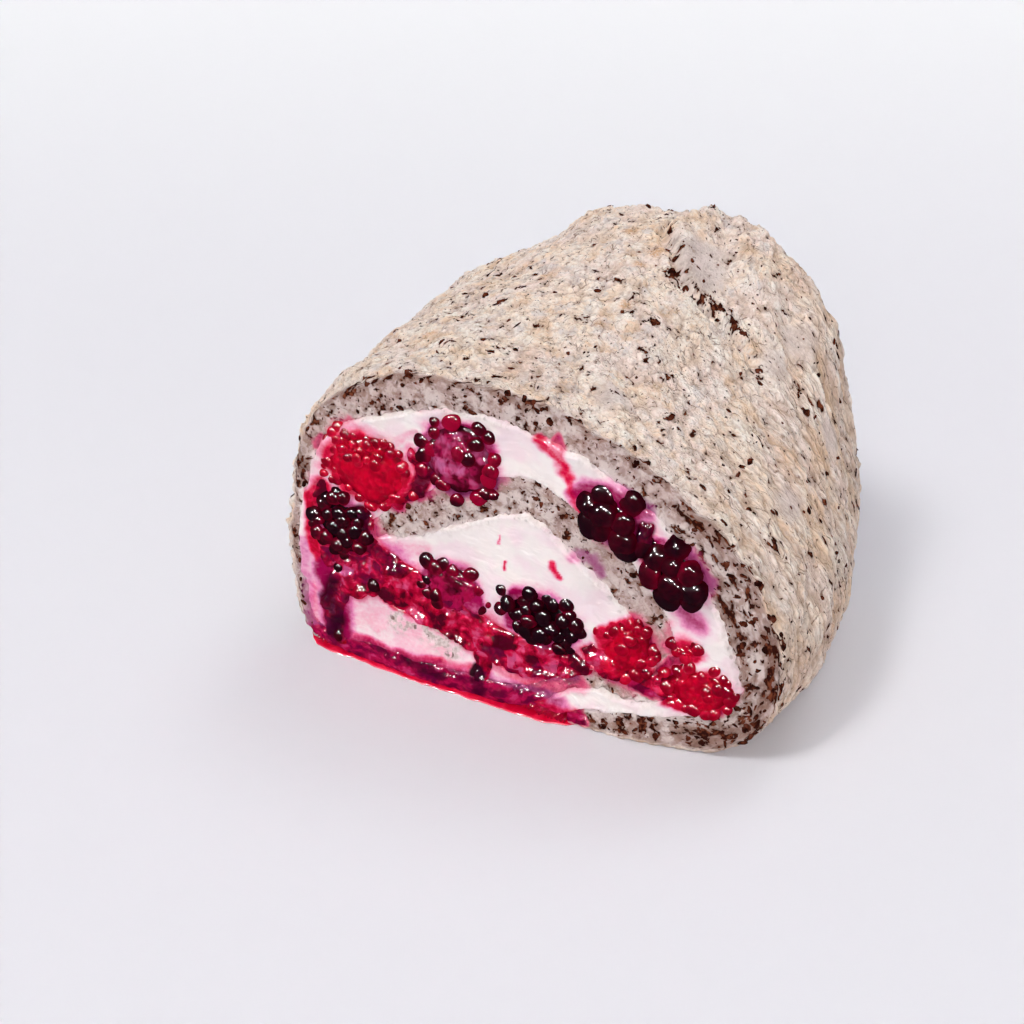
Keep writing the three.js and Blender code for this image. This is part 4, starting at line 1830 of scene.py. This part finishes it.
@dataclass
class CrushedBerries(Filling):
    """Crushed berries that have run through the cream."""

    def build(self) -> bpy.types.Object:
        """Makes the crushed berries.

        Returns:
            The new object.
        """
        x, z = self.grid()
        inside = np.minimum(*(face.crushed_gap(x, z) for face in self.faces)) < 1.9
        heights = tuple(self._height(face, x, z) for face in self.faces)
        plain = self.shell("compote_plain", inside, heights, self._marks)
        tree = GeometryTree("Compote relief", Seed=4, Lump=3.0, Height=1.1)
        at = tree.warped(tree.place(), 0.3, 1.0)
        inputs = {"Vector": at, "Scale": 1 / tree.input("Lump"), "Smoothness": 0.35}
        dome = tree.get("ShaderNodeTexVoronoi", {"feature": "SMOOTH_F1"}, inputs, "Distance")
        lift = (dome.rise(0.75, 0.1) - 0.4) * tree.input("Height")
        lift = lift * tree.noise(at, 0.2, 2.0).rise(0.35, 0.6) * tree.named("lumpy")
        offset = tree.get("GeometryNodeInputNormal").scaled(lift * MM)
        tree.close(tree.shifted(tree.input("Geometry"), offset), CrushedFinish().make())
        made = tree.run(plain, "crushed_compote")
        discard(plain)
        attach(made, "root")
        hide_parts("crushed_berries")
        return made

    def _height(self, face: CutFace, x: Array, z: Array) -> Array:
        """How far the crushed berries stand out of a cut.

        Args:
            face: The cut.
            x: Points across it.
            z: Points up it.

        Returns:
            The height of each point.
        """
        n = face.ripple
        px, pz = face.stray(x, z, 1.1)
        gap = face.crushed_gap(px, pz)
        lumps = (
            0.7 * np.abs(n(x / 2.4, z / 2.4, 30.0)) + 0.5 * n(x / 5, z / 5, 33.0)
            + 0.2 * n(x / 0.9, z / 0.9, 36.0)
        )
        return 0.35 + lumps - 3.2 * smooth((gap + 0.3) / 1.6)

    @staticmethod
    def _marks(face: CutFace, x: Array, z: Array) -> dict[str, Array]:
        """Juices in the crushed berries, and where drupelets lie loose.

        Args:
            face: The cut.
            x: Points across it.
            z: Points up it.

        Returns:
            Attribute values by name.
        """
        soak = face.soak(x, z)
        inner = smooth(0.4 - face.crushed_gap(x, z) / 1.5)
        return {"soak": soak, "lumpy": inner, "loose": inner * smooth(1.6 * soak[..., 1] - 0.4)}

    def drupelets(
        self, compote: bpy.types.Object, material: bpy.types.Material
    ) -> bpy.types.Object:
        """Scatters loose drupelets over the crushed berries.

        Args:
            compote: The crushed berries.
            material: Finish of the drupelets.

        Returns:
            The new object.
        """
        tree = GeometryTree(
            "Loose drupelets", Seed=31, Density=75000.0, Bead=1.15 * MM, Apart=1.4 * MM,
            Sink=-0.5 * MM,
        )
        cloud = tree.noise(tree.place(), 0.2, 1.0).rise(0.5, 0.6)
        spread = tree.scatter("POISSON", {
            "Mesh": tree.input("Geometry"), "Distance Min": tree.input("Apart"), "Seed": 8,
            "Density Max": tree.input("Density"), "Density Factor": tree.named("loose") * cloud,
        })
        size = tree.input("Bead") * tree.random(0.8, 1.3, 3)
        scale = tree.random((0.75, 0.75, 0.75), (1.15, 1.15, 1.15), 2).scaled(size)
        inward = Sock(tree, spread.outputs["Normal"]).scaled(tree.input("Sink"))
        placed = tree.get("GeometryNodeInstanceOnPoints", {}, {
            "Points": tree.shifted(Sock(tree, spread.outputs["Points"]), inward),
            "Instance": tree.ball(2), "Scale": scale,
        })
        placed = tree.store(placed, "bead", tree.random(0.0, 1.0, 7), "INSTANCE")
        placed = tree.store(placed, "crown", 1.0, "INSTANCE")
        tree.close(tree.sleek(tree.real(placed)), material)
        made = tree.run(compote, "loose_drupelets")
        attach(made, "root")
        return made


@dataclass
class BerryMaker:
    """Grows whole berries from drupelets."""

    form: RollForm
    sink: float = 0.58

    def finish(self, kind: Kind) -> bpy.types.Material:
        """The finish of a kind of berry."""
        return (RASPBERRY_SKIN if kind is Kind.RASPBERRY else BerryFinish()).make()

    def build(self, berry: Berry, side: int, material: bpy.types.Material) -> bpy.types.Object:
        """Grows one berry in the place of its node.

        Args:
            berry: The berry.
            side: Cut that it shows at, -1 front or 1 back.
            material: Its finish.

        Returns:
            The new object.
        """
        low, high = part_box(berry.node)
        swell = 1 / math.sqrt(1 - self.sink**2)
        sizes = (berry.half_width * swell, berry.half_length, berry.half_height * swell)
        area = (
            4 * math.pi
            * (sum((sizes[k] * sizes[k - 1]) ** 1.6 for k in range(3)) / 3) ** (1 / 1.6)
        )
        level = min(berry.bare, self.sink + 1.0 / berry.half_length)
        tree = GeometryTree(
            "Berry " + berry.node, Seed=berry.seed, Half=tuple(v * MM for v in sizes),
            Beads=int(area / (2.5 * berry.bead**2)), Bead=berry.bead * MM, Proud=berry.proud,
            Bare=berry.bare, Level=level, Press=0.3 if berry.bare > 1 else 0.45,
            Tilt=math.radians(berry.tilt), Place=tuple((low + high) / 2), Side=float(side),
            Tone=berry.tone, Pulp=berry.pulp, Lowest=self.sink - 0.1, Tuft=berry.tuft,
        )
        core, beads = self._core(tree, 6 if side < 0 else 5), self._beads(tree, 3)
        whole = tree.node("GeometryNodeJoinGeometry")
        tree.feed(whole.inputs[0], core)
        tree.feed(whole.inputs[0], beads)
        up = tree.get("GeometryNodeInputPosition").parts()[1] * tree.input("Side")
        far = (
            (up - tree.input("Level") * tree.input("Half").parts()[1]).highest(0.0)
            * tree.input("Press")
        )
        back = tree.vector(0.0, far * tree.input("Side") * -1)
        body = tree.shifted(Sock(tree, whole.outputs[0]), back)
        for key in ("Tone", "Pulp"):
            body = tree.store(body, key.lower(), tree.input(key))
        turned = tree.get("GeometryNodeTransform", {}, {
            "Geometry": body, "Translation": tree.input("Place"),
            "Rotation": tree.vector(0.0, tree.input("Tilt") * -1),
        })
        tree.close(tree.sleek(turned), material)
        seed = bpy.data.objects.new("berry_seed", bpy.data.meshes.new("berry_seed"))
        bpy.context.scene.collection.objects.link(seed)
        made = tree.run(seed, berry.node + "_fruit")
        discard(seed)
        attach(made, "root")
        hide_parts(berry.node)
        return made

    @staticmethod
    def _skin(tree: GeometryTree, unit: Sock) -> Sock:
        """Place on the uneven berry for a point of the unit sphere."""
        push = tree.push(unit.moved(tree.vector(tree.input("Seed") * 3.1)), 1.3, 2.0)
        return unit.moved(push.scaled(0.3)).stretched(tree.input("Half"))

    def _core(self, tree: GeometryTree, detail: int) -> Sock:
        """The berry's middle: dark between the drupelets, and flesh where it was cut.

        Args:
            tree: Tree to add to.
            detail: Subdivisions of its ball.

        Returns:
            The geometry.
        """
        here = tree.get("GeometryNodeInputPosition")
        facing = here.parts()[1] * tree.input("Side") + (tree.noise(here, 2.2, 2.0) - 0.5) * 0.3
        cut = (facing - tree.input("Bare")).rise(-0.1, 0.08)
        ball = tree.store(tree.store(tree.ball(detail), "flesh", cut), "crown", 1.0)
        rough = (tree.noise(here, 2.8, 2.0) - 0.5) * cut * 2.0 - tree.cells(here, 4.0) * cut * 0.5
        inward = rough - tree.input("Proud") * (0.6 - 0.4 * cut)
        grown = self._skin(tree, here).moved(here.scaled(inward * tree.input("Bead")))
        return tree.get("GeometryNodeSetPosition", {}, {"Geometry": ball, "Position": grown})

    def _beads(self, tree: GeometryTree, detail: int) -> Sock:
        """Drupelets in a spiral over the berry, left out at its back and where it was cut.

        Args:
            tree: Tree to add to.
            detail: Subdivisions of each drupelet.

        Returns:
            The geometry.
        """
        inputs = {"Count": tree.input("Beads"), "Offset": (0.0, 0.0, 0.0)}
        line = tree.get("GeometryNodeMeshLine", {}, inputs)
        number = tree.get("GeometryNodeInputIndex")
        level = 1 - (number + 0.5) * 2 / tree.input("Beads")
        ring = (1 - level * level) ** 0.5
        turn = number * GOLDEN_ANGLE + tree.input("Seed") * 1.7
        spot = tree.vector(level, ring * turn.wave("COSINE"), ring * turn.wave("SINE"))
        spot = spot.moved(tree.random((-0.1, -0.1, -0.1), (0.1, 0.1, 0.1), 4))
        facing = spot.parts()[1] * tree.input("Side")
        across, up, wide = tree.input("Tuft").parts()
        far_x, far_z = spot.parts()[0] - across, spot.parts()[2] - up
        spare = (
            (wide * wide - far_x * far_x - far_z * far_z).rise(0.0, 0.01) * facing.rise(0.0, 0.01)
        )
        shown = (facing - tree.input("Lowest")).rise(0.0, 0.01)
        keep = shown * (tree.input("Bare") - facing).rise(0.0, 0.02).highest(spare)
        seeded = tree.store(line, "keep", keep)
        laid = tree.get("GeometryNodeSetPosition", {}, {
            "Geometry": seeded, "Position": self._skin(tree, spot),
        })
        size = tree.input("Bead") * tree.random(0.86, 1.2, 6)
        scale = tree.random((0.9, 0.9, 0.9), (1.1, 1.1, 1.1), 5).scaled(size)
        placed = tree.get("GeometryNodeInstanceOnPoints", {}, {
            "Points": laid, "Selection": tree.named("keep"), "Instance": tree.ball(detail),
            "Scale": scale,
        })
        placed = tree.store(placed, "bead", tree.random(0.0, 1.0, 7), "INSTANCE")
        here, half = tree.get("GeometryNodeInputPosition"), tree.input("Half")
        away = here._vector("DIVIDE", {0: here, 1: half.stretched(half)})
        away = away._vector("NORMALIZE", {0: away})
        crown = away._vector("DOT_PRODUCT", {0: tree.get("GeometryNodeInputNormal"), 1: away}, 1)
        real = tree.store(tree.real(placed), "crown", crown)
        return tree.shifted(real, tree.push(here, 380.0, 0.0).scaled(tree.input("Bead") * 0.6))


@dataclass
class JuiceFilm:
    """Juice that has run out from under the front cut."""

    form: RollForm
    face: CutFace
    spread: Rows = (
        (-42.5, -2.6), (-41.5, -0.9), (-40, 0.3), (-37, 1.0), (-34, 1.4), (-27, 1.9), (-19, 2.6),
        (-10, 3.1), (-2, 3.4), (5, 3.3), (9, 2.4), (12.5, 0.2),
    )
    height: float = 0.32

    def build(self) -> bpy.types.Object:
        """Makes the film as a closed strip.

        Returns:
            The new object.
        """
        table = np.array(self.spread)
        x = np.linspace(self.spread[0][0], self.spread[-1][0], 160)
        n = self.face.ripple
        reach = np.interp(x, table[:, 0], table[:, 1]) + 0.3 * n(x / 2.3, x * 0, 4.0, 2)
        across = np.linspace(0, 1, 13)
        outer = -self.form.length / 2 - reach
        width = 4.0 * np.minimum(smooth((x - x[0]) / 6), smooth((x[-1] - x) / 6)) + 0.05
        y = outer[:, None] + width[:, None] * (1 - across[None, :] ** 0.55)
        dome = np.sqrt(np.clip(1 - across ** 3, 0, 1))[None, :]
        ends = np.minimum(smooth((x - x[0]) / 2.0), smooth((x[-1] - x) / 2.0))[:, None]
        top = (
            self.height * dome * (0.3 + 0.7 * ends) * (1 + 0.25 * n(x[:, None] / 3, y / 2, 1.5))
            + 0.04
        )
        rows, cols = y.shape
        grid = np.arange(rows * cols).reshape(rows, cols)
        flat_x = np.broadcast_to(x[:, None], y.shape)
        sx, _ = self.form.settle(flat_x, top, y)
        upper, lower = self.form.metres(sx, y, top), self.form.metres(sx, y, 0.02)
        face = cell_quads(grid).reshape(-1, 4)
        rim = np.concatenate([grid[:-1, 0], grid[-1, :-1], grid[:0:-1, -1], grid[0, :0:-1]])
        ahead = np.roll(rim, -1)
        total = rows * cols
        walls = np.stack([ahead, rim, rim + total, ahead + total], 1)
        mark = np.broadcast_to(across[None, :], y.shape).ravel()
        draft, faces = Draft(), [face, face[:, ::-1] + total, walls]
        draft.add(np.concatenate([upper, lower]), faces, {"rim": np.concatenate([mark, mark])})
        made = draft.build("juice_film")
        made.data.materials.append(JuiceFinish().make())
        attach(made, "root")
        return made


@dataclass
class Studio:
    """Floor, light and camera."""

    eye: tuple[float, float, float] = (140.655, -358.396, 268.118)
    right: tuple[float, float, float] = (0.90869, 0.41687, 0.02259)
    down: tuple[float, float, float] = (0.24183, -0.4815, -0.84242)
    forward: tuple[float, float, float] = (-0.3403, 0.77096, -0.53834)
    lens: float = 91.406
    key: tuple[float, float, float] = (-0.84, -2.0, 3.6)
    glints: Rows = ((1.5, -2.6, 2.0), (-1.9, -2.6, 1.6), (0.3, -3.0, 3.0), (1.2, 3.0, 2.4))

    def build(self) -> None:
        """Sets up everything round the slice; small lights for gloss alone make the glints."""
        self._floor()
        self._light("key", self.key, 0.9, 64.0, (1.0, 0.99, 0.985))
        self._light("front", (0.8, -2.7, 1.7), 0.6, 30.0)
        self._light("top", (0.5, 1.6, 3.0), 1.4, 24.0)
        self._light("sparkle", self.key, 0.2, 4800.0).visible_diffuse = False
        for number, place in enumerate(self.glints):
            self._light(f"glint_{number}", place, 0.14, 1700.0).visible_diffuse = False
        world = bpy.data.worlds.new("studio")
        world.use_nodes = True
        shade = world.node_tree.nodes["Background"]
        shade.inputs["Color"].default_value = (0.98, 0.985, 1.0, 1.0)
        shade.inputs["Strength"].default_value = 0.42
        bpy.context.scene.world = world
        self._camera()
        bpy.context.scene.view_settings.view_transform = "Standard"

    def _floor(self) -> None:
        """Lays the floor."""
        mesh = bpy.data.meshes.new("floor")
        mesh.from_pydata([(-2, -2, 0), (2, -2, 0), (2, 2, 0), (-2, 2, 0)], [], [(0, 1, 2, 3)])
        floor = bpy.data.objects.new("floor", mesh)
        bpy.context.scene.collection.objects.link(floor)
        mesh.materials.append(FloorFinish().make())

    def _light(self, name: str, place: tuple[float, ...], size: float, power: float,
               colour: tuple[float, ...] = (1.0, 1.0, 1.0)) -> bpy.types.Object:
        """Adds one square area light that faces the slice.

        Args:
            name: Name of the light.
            place: Its place in metres.
            size: Its side in metres.
            power: Its power in watts.
            colour: Its colour.

        Returns:
            The light's object.
        """
        data = bpy.data.lights.new(name, "AREA")
        data.shape, data.size, data.energy, data.color = "SQUARE", size, power, colour
        light = bpy.data.objects.new(name, data)
        light.location = place
        aim = Vector((0, 0, 0.03)) - Vector(place)
        light.rotation_euler = aim.to_track_quat("-Z", "Y").to_euler()
        bpy.context.scene.collection.objects.link(light)
        return light

    def _camera(self) -> None:
        """Places the camera."""
        data = bpy.data.cameras.new("camera")
        data.lens, data.sensor_width, data.clip_start, data.clip_end = self.lens, 36.0, 0.01, 10.0
        camera = bpy.data.objects.new("camera", data)
        columns = [Vector(self.right), -Vector(self.down), -Vector(self.forward)]
        turn = Matrix([[c[k] for c in columns] for k in range(3)]).to_4x4()
        camera.matrix_world = Matrix.Translation(Vector(self.eye) * MM) @ turn
        bpy.context.scene.collection.objects.link(camera)
        bpy.context.scene.camera = camera


# ---- What shows on each cut ----

R, B = Kind.RASPBERRY, Kind.BRAMBLE

FRONT_BERRIES = (
    Berry(
        "raspberry_1", R, -29.8, 39.2, 8.0, 6.6, 5.8, -8, bead=0.88, proud=0.5, bare=0.7, seed=3,
        tone=0.1, tuft=(-0.2, 0.5, 0.46),
    ),
    Berry(
        "raspberry_2", R, 18.0, 17.2, 4.6, 5.6, 5.2, -25, bead=1.1, proud=0.5, bare=0.72, seed=5,
        tone=0.1, tuft=(-0.1, 0.4, 0.3),
    ),
    Berry(
        "raspberry_3", R, 31.0, 13.0, 6.2, 4.2, 5.2, 14, bead=1.1, proud=0.5, bare=0.72, seed=8,
        tone=0.05, tuft=(0.45, 0.1, 0.34),
    ),
    Berry("raspberry_4", R, 28.4, 20.4, 2.6, 1.6, 3.0, 8, bead=1.0, proud=0.5, bare=0.7, seed=2),
    Berry(
        "bramble_1", B, -12.7, 45.6, 6.8, 7.0, 5.8, 20, bead=1.3, proud=0.75, bare=0.74, seed=6,
        tone=0.24, pulp=1.0, tuft=(0.35, 0.3, 0.3),
    ),
    Berry("bramble_2", B, 15.0, 41.6, 5.6, 4.4, 5.4, -38, bead=2.2, proud=0.7, seed=4, tone=-0.16),
    Berry("bramble_3", B, 25.8, 34.8, 5.6, 4.6, 5.4, -38, bead=2.2, proud=0.7, seed=9, tone=-0.1),
    Berry(
        "bramble_4", B, -13.8, 19.8, 6.0, 4.6, 5.2, 0, bead=1.3, proud=0.45, bare=0.66, seed=7,
        tone=0.12, tuft=(-0.3, -0.3, 0.3),
    ),
    Berry("bramble_5", B, 2.8, 19.0, 7.2, 5.4, 5.6, -18, bead=1.35, proud=0.8, seed=12, tone=-0.1),
    Berry("bramble_6", B, -35.4, 26.6, 4.6, 5.8, 4.8, 0, bead=1.25, proud=0.75, seed=10, tone=0.0),
)
BACK_BERRIES = (
    Berry("back_raspberry_1", R, -7.0, 49.4, 7.4, 3.9, 5.8, -4, bead=1.4, proud=0.7, seed=13),
    Berry("back_raspberry_2", R, 32.0, 22.0, 4.2, 6.6, 5.2, 4, bead=1.35, proud=0.7, seed=14),
    Berry(
        "back_raspberry_3", R, -21.0, 22.6, 6.0, 3.8, 5.2, -10, bead=1.3, proud=0.6, bare=0.75,
        seed=15,
    ),
    Berry(
        "back_bramble_1", B, -28.8, 41.0, 7.6, 6.0, 5.8, 6, bead=1.6, proud=0.75, bare=0.8,
        seed=16, tone=0.25, pulp=0.8,
    ),
    Berry("back_bramble_2", B, 19.6, 39.4, 8.4, 4.2, 5.6, -43, bead=1.8, proud=0.75, seed=17),
    Berry("back_bramble_3", B, 5.2, 19.4, 7.6, 5.6, 5.6, -14, bead=1.8, proud=0.75, seed=18),
)
FRONT_WASHES = (
    Wash(Dye.RED, ((-24.5, 45.5), (-21, 48)), 0.4, 1.4, 0.3),
    Wash(Dye.RED, ((-38.5, 41), (-33, 46)), 0.8, 2.2, 0.55),
    Wash(Dye.RED, ((4.6, 53.5), (5.6, 49.5)), 0.7, 1.4, 0.7),
    Wash(Dye.RED, ((1.5, 53.5), (5.5, 50), (7.6, 45.5), (10, 41), (11.5, 38)), 0.25, 1.3, 0.9),
    Wash(Dye.VIOLET, ((9.5, 45.5), (14, 46.6), (19, 44.2)), 0.9, 3.2, 0.95),
    Wash(Dye.VIOLET, ((31, 34), (28.7, 31), (27.5, 28), (30.5, 26)), 0.3, 3.2, 0.75),
    Wash(Dye.VIOLET, ((8, 33.5), (12, 33), (13, 31)), 0.1, 2.2, 0.6),
    Wash(Dye.RED, ((14, 19), (17.7, 14), (22, 11.6), (27.7, 11), (34, 11)), 1.2, 1.6, 1.0),
    Wash(Dye.RED, ((24.6, 15.6), (28, 19)), 0.5, 1.2, 0.8),
    Wash(Dye.RED, ((24.5, 20.5), (26, 25)), 0.2, 2.4, 0.35),
    Wash(Dye.RED, ((-40.4, 32), (-40.2, 25), (-39.2, 19)), 0.6, 1.6, 0.95),
    Wash(Dye.RED, ((-41, 12.6), (-40.2, 8), (-39.5, 3)), 0.4, 1.8, 0.5),
    Wash(Dye.RED, ((-4.3, 26.5), (-4, 27.4)), 0.2, 0.5, 1.0),
    Wash(Dye.RED, ((4.6, 31), (5.6, 28.4)), 0.3, 0.6, 0.9),
    Wash(Dye.RED, ((-5.5, 33), (-5.2, 31)), 0.05, 0.4, 0.8),
    # Dark juice, and painted shade of the hole between raspberry_1 and the arch.
    Wash(Dye.DARK, ((-31.5, 30), (-30.6, 26)), 1.0, 1.6, 0.9),
    Wash(Dye.VIOLET, ((-37, 28), (-34, 20), (-30, 19)), 2.4, 2.4, 1.0),
    Wash(Dye.DARK, ((-19, 42), (-20, 37.4)), 0.8, 1.8, 0.55),
    Wash(Dye.DARK, ((20.6, 40.6), (21.6, 36.6)), 1.0, 1.8, 0.9),
    Wash(Dye.DARK, ((-37, 15), (-38, 11), (-35.5, 7), (-36, 3)), 0.1, 3.0, 0.75),
    Wash(Dye.VIOLET, ((-37.5, 17), (-36, 9), (-35, 2)), 1.4, 3.4, 1.0),
    Wash(Dye.VIOLET, ((-30.5, 24), (-27, 23), (-24, 22.5)), 0.4, 4.8, 0.6),
    Wash(Dye.RED, ((-29.5, 24.5), (-24, 24.5), (-20, 25.5)), 0.3, 3.4, 0.35),
    Wash(Dye.VIOLET, ((-41.6, 22), (-41.8, 12), (-41, 4)), 0.3, 2.0, 0.5),
    Wash(Dye.RED, ((-32, 10.5), (-24, 8), (-16, 5)), 2.0, 3.5, 0.3),
    Wash(Dye.RED, ((-33, 4.4), (-20, 4.2), (-8, 5)), 0.4, 1.6, 0.7),
    Wash(Dye.VIOLET, ((-44, 1), (-30, 2.4), (-10, 2.4), (7, 2.6)), 2.0, 1.8, 0.7),
    Wash(Dye.RED, ((-46, 0), (-30, 0.8), (-10, 1), (9, 0.8)), 2.2, 2.2, 1.0),
    Wash(Dye.DARK, ((-22, 3), (-15, 2.6)), 0.5, 1.2, 0.8),
    Wash(Dye.DARK, ((-8.5, 5.2), (-7.5, 2)), 0.6, 1.2, 0.9),
    Wash(Dye.RED, ((-4, 7.5), (3, 6), (10, 8.5)), 1.0, 2.4, 0.6),
    Wash(Dye.VIOLET, ((-8, 9.5), (1, 8), (9, 10)), 0.8, 2.2, 0.6),
    Wash(Dye.RED, ((22.6, 14), (25.6, 10.8)), 1.2, 1.8, 0.85),
)
FRONT_POOLS: tuple[Rows, ...] = (
    ((-39, 33, 1.4), (-37, 28, 3.4), (-35, 21, 3.6), (-33, 16, 3.4)),
    ((-31, 29.5, 1.8), (-30.5, 25, 2.4), (-28, 20, 3.6), (-21, 19, 3.2)),
    ((-10, 10.5, 2.4), (-2, 9, 2.2), (6, 9.6, 1.6), (11, 12, 1.2)),
    ((12.5, 14.5, 2.0), (16, 12.6, 1.6), (22, 13.4, 1.5), (27, 11.4, 1.6), (33, 11, 1.6)),
    ((-7, 8.5, 1.6), (-7.5, 4, 1.3)),
    ((-21.2, 43.6, 0.8), (-19, 41.4, 1.4), (-20.4, 37.4, 1.5), (-24.5, 33.4, 0.8)),
    ((20.6, 40.6, 1.4), (21.6, 36.6, 2.0)),
)
BACK_WASHES = (
    Wash(Dye.RED, ((-40, 36), (-36, 33)), 0.8, 2.0, 0.7),
    Wash(Dye.VIOLET, ((-33, 32), (-27, 33.5)), 1.0, 2.5, 0.7),
    Wash(Dye.VIOLET, ((22, 45), (28, 37)), 0.8, 2.4, 0.7),
    Wash(Dye.RED, ((-44, 0.4), (-20, 0.4), (4, 0.4)), 1.2, 2.4, 0.9),
    Wash(Dye.VIOLET, ((-40, 2.4), (-20, 2.4), (2, 2.6)), 1.2, 1.8, 0.6),
    Wash(Dye.DARK, ((-36.5, 14), (-36, 6)), 1.0, 1.6, 0.8),
    Wash(Dye.RED, ((28, 12), (20, 13)), 0.8, 2.0, 0.8),
)
BACK_POOLS: tuple[Rows, ...] = (
    ((-37.5, 24, 1.8), (-35, 18, 3.0)), ((22, 14, 1.2), (32, 12, 1.6))
)


def roll_shift(form: RollForm, berries: Sequence[Berry], sink: float) -> float:
    """How far the frame lies from the section's own origin, from where the berries are.

    Args:
        form: Form of the roll.
        berries: Berries of the front cut.
        sink: Share of a berry's half length that lies inside the cut.

    Returns:
        The shift along X in millimetres.
    """
    gaps = []
    for berry in berries:
        low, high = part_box(berry.node)
        y = -(form.length / 2 - sink * berry.half_length)
        gaps.append((low.x + high.x) / 2 / MM - float(form.settle(berry.x, berry.z, y)[0]))
    return float(np.mean(gaps))


def report(piece: bpy.types.Object) -> None:
    """Logs a finished piece and its size."""
    piece.data.calc_loop_triangles()
    log.info("%s: %d triangles", piece.name, len(piece.data.loop_triangles))


def main() -> None:
    """Builds the slice in order."""
    logging.basicConfig(level=logging.INFO, format="%(name)s: %(message)s")
    makers = BerryMaker(RollForm())
    form = RollForm(shift=roll_shift(RollForm(), FRONT_BERRIES, makers.sink))
    log.info("section origin at x = %.3f mm", form.shift)
    front = CutFace(-1, form, FRONT_BERRIES, FRONT_WASHES, FRONT_POOLS, 31)
    back = CutFace(1, form, BACK_BERRIES, BACK_WASHES, BACK_POOLS, 32)
    faces = (front, back)
    Studio().build()
    meringue = MeringueSheet(form, faces)
    sheet = meringue.build()
    report(sheet)
    report(meringue.flecks(sheet))
    report(Cream(form, faces).build())
    crushed = CrushedBerries(form, faces)
    compote = crushed.build()
    report(compote)
    finishes = {kind: makers.finish(kind) for kind in Kind}
    report(crushed.drupelets(compote, finishes[Kind.BRAMBLE]))
    for face in faces:
        for berry in face.berries:
            report(makers.build(berry, face.side, finishes[berry.kind]))
    report(JuiceFilm(form, front).build())


if __name__ == "__main__":
    main()
